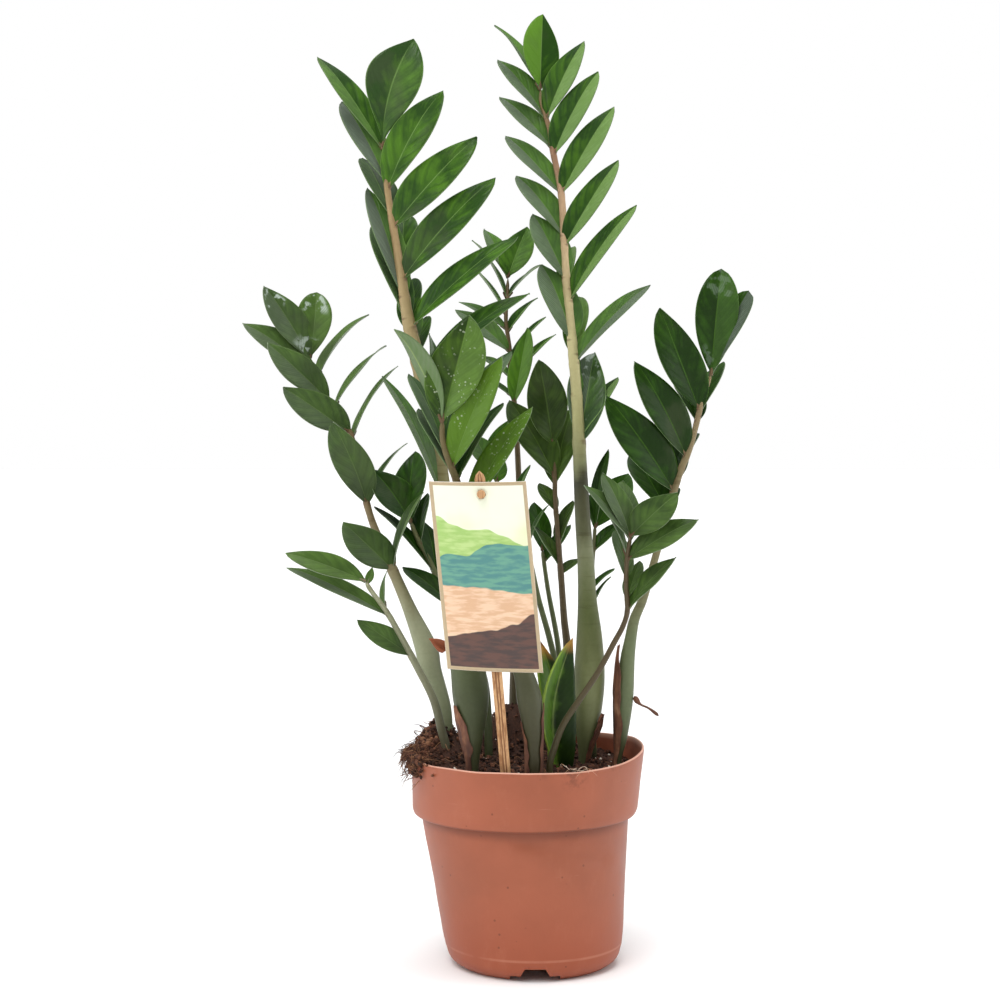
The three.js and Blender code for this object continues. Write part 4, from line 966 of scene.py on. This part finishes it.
for name, frond in FRONDS.items():
    chance = random.Random(name)
    stalk = stalks[name] = Stalk(frond["stalk"], frond["lean"])
    stalk_skin, upper, under, slot = FINISHES[name]
    leaflets = [(stalk.leant(0, 0, height).z, *shape) for height, *shape in frond["leaflets"]]
    joints = [(height, math.copysign(1, right)) for height, right, *_ in leaflets]

    def scar_at(corner):
        height = corner.z * 1000
        middle, radius = stalk.at(height)
        aside = (corner.x - metres(*middle).x) * 1000 / radius
        return max(hump(height - joint - 0.5, 1.6) * (0.5 + 0.5 * aside * side)
                   for joint, side in joints)

    def stem(t):
        height = stalk.foot + (stalk.top - stalk.foot) * t
        middle, radius = stalk.at(height)
        radius *= 1 + 0.1 * max(hump(height - joint + 1, 3) for joint, _ in joints)
        end = min(1, (1 - t) * 60, t * 60 + 0.3)
        return metres(*middle), radius * (end if t < 1 else 0) / 1000

    bm = bmesh.new()
    tube(bm, stem, 20, int((stalk.top - stalk.foot) / 2.2), mark=scar_at)
    for height, right, up, back, width, *_ in leaflets:
        joint, radius = stalk.at(height)
        tip = push_back(joint + Vector((right, 0, up)), back)
        ahead = (tip - joint).normalized()
        thick = min(0.45 + width * 0.045, radius * 0.9)

        def petiole(t):
            spread = thick * (1.15 - 0.55 * t) * (1 if t < 1 else 0)
            return metres(*(joint + ahead * (radius * 0.4 + 6.5) * t)), spread / 1000

        tube(bm, petiole, 8, 6, mark=lambda corner: 1.3 - (corner - metres(*joint)).length * 110)
    piece = new_piece(name + "_stalk", bm, [stalk_skin])
    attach(piece, "root")
    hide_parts(name)

    bm = bmesh.new()
    for height, right, up, back, width, turn, *looks in leaflets:
        looks = {**frond["looks"], **dict(*looks)}
        leaflet(bm, stalk.at(height)[0], right, up, back, width, turn, **looks)
    piece = new_piece(name + "_leaflets", bm, [upper, under, marked_leaf, under])
    thicken(piece, 0.0006, under=1)
    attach(piece, "root")
    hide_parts(name)

# ---------------------------------------------------------------------------------------------
# Young leaves. Two blades that have come up alone between the stalks: still half folded, a bright
# yellow green that darkens to one side with painted shade, with scorched brown tips.

YOUNG_LEAVES = {                  # foot, step to the tip, width, turn, bow, and how scorched it is
    "leaf_young": ((15, 3, 132), (-5.5, 104, -4, 28, 10, 0.08, 1.0)),
    "leaf_folded": ((27, -9, 132), (7.5, 107, 2, 34, 28, -0.16, 0.2)),
}
young_skin, start = new_finish("leaf_young_upper", 0.22)
across, along, _ = start.coordinates("UV").parts()
where = start.coordinates()
clouds = where.noise(60.0, 4.0, 0.6)
veins = ((along - abs(across * 2 - 1) * 0.2) * 110).maths("SINE")
# Painted shade: the blade darkens across towards one side, as if that half were in shadow. A paler band runs
# along its bright edge.
shade = (across + (clouds - 0.5) * 0.9).between(0.3, 0.66) * 0.8 + clouds * 0.3 + veins * 0.01
colour = shade.mix(rgb(78, 112, 32), rgb(26, 44, 14))
colour = (abs(across * 2 - 1).between(0.08, 0.02) * 0.25).mix(colour, rgb(150, 170, 80))
colour = (across.between(0.09, 0.02) * 0.6).mix(colour, rgb(152, 176, 70))
scorched = start.mark("grey")
scorch = along + (clouds - 0.5) * 0.1 + scorched * 0.07 - 0.07
colour = scorch.between(0.84, 0.95).mix(colour, rgb(160, 116, 50))
colour = scorch.between(0.94, 0.99).mix(colour, rgb(96, 54, 32))
feed(young_skin, colour, clouds.between(0, 1, 0.3, 0.5), veins * 0.12 + clouds, 0.0003)

for name, (foot, (*shape, bow, scorched)) in YOUNG_LEAVES.items():
    chance = random.Random(name)
    bm = bmesh.new()
    leaflet(bm, Vector(foot), *shape, fold=34, bow=bow, grey=scorched)
    piece = new_piece(name, bm, [young_skin, young_skin])
    thicken(piece, 0.0009)
    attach(piece, "root")
    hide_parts(name)

# ---------------------------------------------------------------------------------------------
# Sheaths. The dry brown leaf bases that once wrapped each shoot: paper-thin, creased lengthwise and
# torn to a point, and still pressed against the stalks. One of them hangs loose as a torn flap, and
# one withered shoot sticks out at the right.

SHEATHS = {                       # stalk, lowest and highest point, bearing, span in degrees, flare
    "sheath_tall_left": ("frond_tall_left", 140, 196, 215, 110, 0.6),
    "sheath_front_left": ("frond_front", 140, 186, 205, 70, 0.2),
    "sheath_front_right": ("frond_front", 140, 200, -20, 60, 0.2),
    "sheath_right": ("frond_right", 140, 234, 204, 128, 2.6),
    "sheath_tall_right": ("frond_tall_right", 140, 182, -38, 80, 2.5),
}
# the shoot's path and radius, from its loose end to the stalk
WITHERED = [[96, -4, 181.5, 1.0], [93, -3, 184, 1.3], [88, -2, 187.5, 0.8], [83, 0, 189.5, 0.9],
            [80, 0.6, 192.5, 2.1], [78.2, 1, 196, 1.5]]

papery, start = new_finish("papery_sheath", 0.35)
across, along, _ = start.coordinates("UV").parts()
where = start.coordinates()
strands = where.noise(150.0, 4.0, 0.65, stretch=(1, 1, 0.12))
blots = where.noise(70.0, 4.0, 0.6)
colour = strands.node("ValToRGB", {0: strands * 0.6 + blots * 0.4}, stops=(
    (0.3, rgb(34, 24, 20)), (0.46, rgb(66, 44, 35)), (0.58, rgb(108, 74, 54)), (0.75, rgb(164, 128, 98))))
warm = start.mark("tone").between(0.0, 1.0) * 0.6 + 0.1
colour = (along.between(0.5, 1.0) * 0.1 + warm).mix(colour, rgb(150, 80, 46))
feed(papery, colour, strands.between(0, 1, 0.5, 0.8), strands + blots, 0.0012)

for name, (on, low, high, bearing, span, flare) in SHEATHS.items():
    chance = random.Random(name)
    seed = Vector((chance.uniform(0, 50), 0, 0))
    stalk = stalks[on]

    def wrap(u, v):
        height = low + (high - low) * v
        middle, radius = stalk.at(height)
        ragged = 0.4 * noise.noise(seed + Vector((u * 5, v * 7, 0)))
        spread = math.radians(span) * (1 - 0.9 * v ** 2.2) * (1 + ragged)
        angle = math.radians(bearing) + (u - 0.5) * spread + 0.3 * noise.noise(seed + Vector((0, v * 4, 2)))
        crease = 0.35 * noise.noise(seed + Vector((u * 9, v * 3, 5)))
        lift = 0.9 + crease + flare * v ** 3 + 0.5 * flare * abs(2 * u - 1) ** 3 * v
        right, back = polar(radius + lift, angle)
        return metres(middle.x + right, middle.y + back,
                      height + 1.5 * noise.noise(seed + Vector((u * 4, 9, 0))) * v)

    bm = bmesh.new()
    lay_grid(bm, 18, 30, wrap)
    piece = new_piece(name, bm, [papery])
    thicken(piece, 0.00045, offset=0.0)
    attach(piece, "root")
    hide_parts(name)

chance = random.Random(3)
bm = bmesh.new()
leaflet(bm, Vector((-59.5, 3, 229.5)), -13, 8.5, 2, 13, 10, tone=1.0, fold=42,
        edges=((0.25, 1.0), (0.25, 1.3)))
torn = new_piece("sheath_left", bm, [papery])
thicken(torn, 0.00045)
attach(torn, "root")
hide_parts("sheath_left")

withered = Stalk(WITHERED)


def dry_shoot(t):
    middle, radius = withered.at(withered.foot + (withered.top - withered.foot) * t)
    return metres(*middle), radius * min(1, t * 12, (1 - t) * 12) / 1000


bm = bmesh.new()
tube(bm, dry_shoot, 12, 30)
piece = new_piece("dry_stub", bm, [papery])
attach(piece, "root")
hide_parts("dry_stub")

# ---------------------------------------------------------------------------------------------
# Label. A flat stick of split wood pushed into the peat, with a round peg near its top, and a
# thin coated card that hangs on the peg, bowed a little and tipped forward with the stick. Its print
# is a generic one: four rolling fields of plain colour under a pale sky, in an even paper border.

STICK_FOOT = Vector((-13.2, -66, 113))
STICK_TOP = Vector((-34.5, -108, 364))
STICK_WIDTH = 7.3
STICK_THICK = 2.4
PEG_HEIGHT = 348
PEG_RADIUS = 2.9
CARD_WIDTH = 66.3
CARD_HEIGHT = 133.5
CARD_CENTRE = Vector((-29.7, -95, 291.0))
CARD_TILT = Matrix.Rotation(math.radians(9.5), 3, "X")
CARD_SLANT = 0.0914
FIELDS = (                        # height at the left edge, rise to the right, and two shades of each
    (0.82, -0.14, (150, 186, 98), (176, 202, 126)),
    (0.60, 0.10, (64, 124, 122), (92, 150, 128)),
    (0.47, -0.06, (206, 164, 128), (224, 190, 158)),
    (0.17, 0.12, (84, 50, 38), (56, 36, 30)),
)

split_wood, start = new_finish("split_wood", 0.3)
where = start.coordinates()
across = start.coordinates("UV").parts()[0]
fibre = where.noise(900.0, 4.0, 0.6, stretch=(1, 1, 0.03))
broad = where.noise(160.0, 3.0, 0.5, stretch=(1, 1, 0.08))
colour = (fibre * 0.6 + broad * 0.4).between(0.38, 0.62).mix(rgb(142, 98, 62), rgb(200, 158, 114))
aside = abs((across * math.tau).maths("COSINE")) ** 0.45
grooves = abs(aside - 0.3).between(0.13, 0.04)
# Darker along the two grooves of the stick and along some of its fibres.
dark_lines = (grooves * (broad * 0.6 + 0.5)).maths("MAXIMUM", fibre.between(0.62, 0.7) * 0.4)
colour = dark_lines.mix(colour, rgb(112, 70, 42))
feed(split_wood, colour, fibre.between(0, 1, 0.55, 0.8), fibre + broad, 0.0006)

stick_along = (STICK_TOP - STICK_FOOT).normalized()
stick_across = (Vector((1, 0, 0)) - stick_along * stick_along.x).normalized()
stick_deep = stick_along.cross(stick_across)


def stick_wall(u, v):
    turn = math.tau * u
    wide = math.copysign(abs(math.cos(turn)) ** 0.45, math.cos(turn))
    deep = math.copysign(abs(math.sin(turn)) ** 0.6, math.sin(turn))
    grooves = 0.32 * (hump(wide + 0.3, 0.1) + hump(wide - 0.32, 0.08))
    taper = min(1, v / 0.08 + 0.02, ((1 - v) / 0.02) ** 0.5) if 0 < v < 1 else 0
    middle = STICK_FOOT.lerp(STICK_TOP, v)
    middle += stick_across * 0.25 * noise.noise(Vector((0, 0, v * 7)))
    return metres(*(middle + stick_across * wide * STICK_WIDTH / 2 * taper
                    + stick_deep * deep * (1 - grooves) * STICK_THICK / 2 * taper))


bm = bmesh.new()
lay_grid(bm, 64, 90, stick_wall)
bmesh.ops.remove_doubles(bm, verts=bm.verts, dist=2e-6)
peg_place = STICK_FOOT.lerp(STICK_TOP, (PEG_HEIGHT - STICK_FOOT.z) / (STICK_TOP.z - STICK_FOOT.z))
aim = Matrix.Translation(metres(*peg_place) + Vector((0, -0.0034, 0))) @ Matrix.Rotation(math.pi / 2, 4, "X")
peg = round_bar(bm, PEG_RADIUS / 1000, 0.008, 28, aim)
rims = {edge for corner in peg for edge in corner.link_edges if edge.calc_face_angle(0) > 1}
bmesh.ops.bevel(bm, geom=list(rims), offset=0.0008, offset_type="OFFSET", segments=3, profile=0.5,
                affect="EDGES", material=-1)
stick = new_piece("label_stick", bm, [split_wood])
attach(stick, "root")
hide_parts("label_stick")


def card_sheet(u, v):
    x, high = (u - 0.5) * CARD_WIDTH, (v - 0.5) * CARD_HEIGHT
    bow = -3.2 * (1 - (2 * u - 1) ** 2)
    curl = -2.5 * max(0, u - 0.6) ** 2 * max(0, 0.35 - v) * 12
    sag = 2.4 * (u - 0.5) * (1 - v)
    return metres(*(CARD_CENTRE + CARD_TILT @ Vector((x - CARD_SLANT * high, bow + curl - 0.4, high - sag))))


printed, start = new_finish("printed_card", 0.5, Coat_Weight=0.25, Coat_Roughness=0.1)
sheet_place = start.coordinates("UV")
u, v, _ = sheet_place.parts()
tall = sheet_place.node("Mapping", {0: sheet_place, 3: (1.0, 2.0, 1.0)})
soft = tall.noise(2.4, 2.0, 0.5)
strokes = tall.noise(7.0, 3.0, 0.55, stretch=(0.7, 3.0, 1))
picture = (v + (soft - 0.5) * 0.9).between(0.3, 0.9).mix(rgb(214, 220, 168), rgb(228, 232, 210))
for level, rise, plain, streaked in FIELDS:
    field = (u * rise + (soft - 0.5) * 0.14 - v + level).between(0.0, 0.006)
    picture = field.mix(picture, strokes.between(0.4, 0.62).mix(rgb(*plain), rgb(*streaked)))
paper = start.coordinates().noise(500.0, 4.0)
kraft = (paper * 0.4 + soft * 0.3).mix(rgb(184, 164, 130), rgb(150, 128, 96))
inside = abs(u - 0.5).between(0.462, 0.458) * abs(v - 0.5).between(0.4815, 0.4795)
picture = inside.mix(kraft, picture)
worn = abs(u * 2 - 1).between(0.985, 1.0).maths("MAXIMUM", abs(v * 2 - 1).between(0.99, 1.0))
picture = (worn * 0.4).mix(picture, rgb(226, 220, 204))
feed(printed, picture, soft.between(0, 1, 0.28, 0.42), paper * 0.15 + soft * 2, 0.0002)

plain_back, start = new_finish("card_back", 0.4)
fibre = start.coordinates().noise(380.0, 5.0, 0.6)
feed(plain_back, (fibre * 0.4).mix(rgb(236, 232, 218), rgb(214, 206, 186)), fibre.between(0, 1, 0.5, 0.7),
     fibre, 0.0002)

bm = bmesh.new()
lay_grid(bm, 40, 70, card_sheet)
hole = metres(*peg_place)
near = [face for face in bm.faces
        if math.hypot(face.calc_center_median().x - hole.x, face.calc_center_median().z - hole.z) < 0.0026]
bmesh.ops.delete(bm, geom=near, context="FACES")
card = new_piece("label_card", bm, [printed, plain_back])
thicken(card, 0.0006, under=1)
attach(card, "root")
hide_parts("label_card")
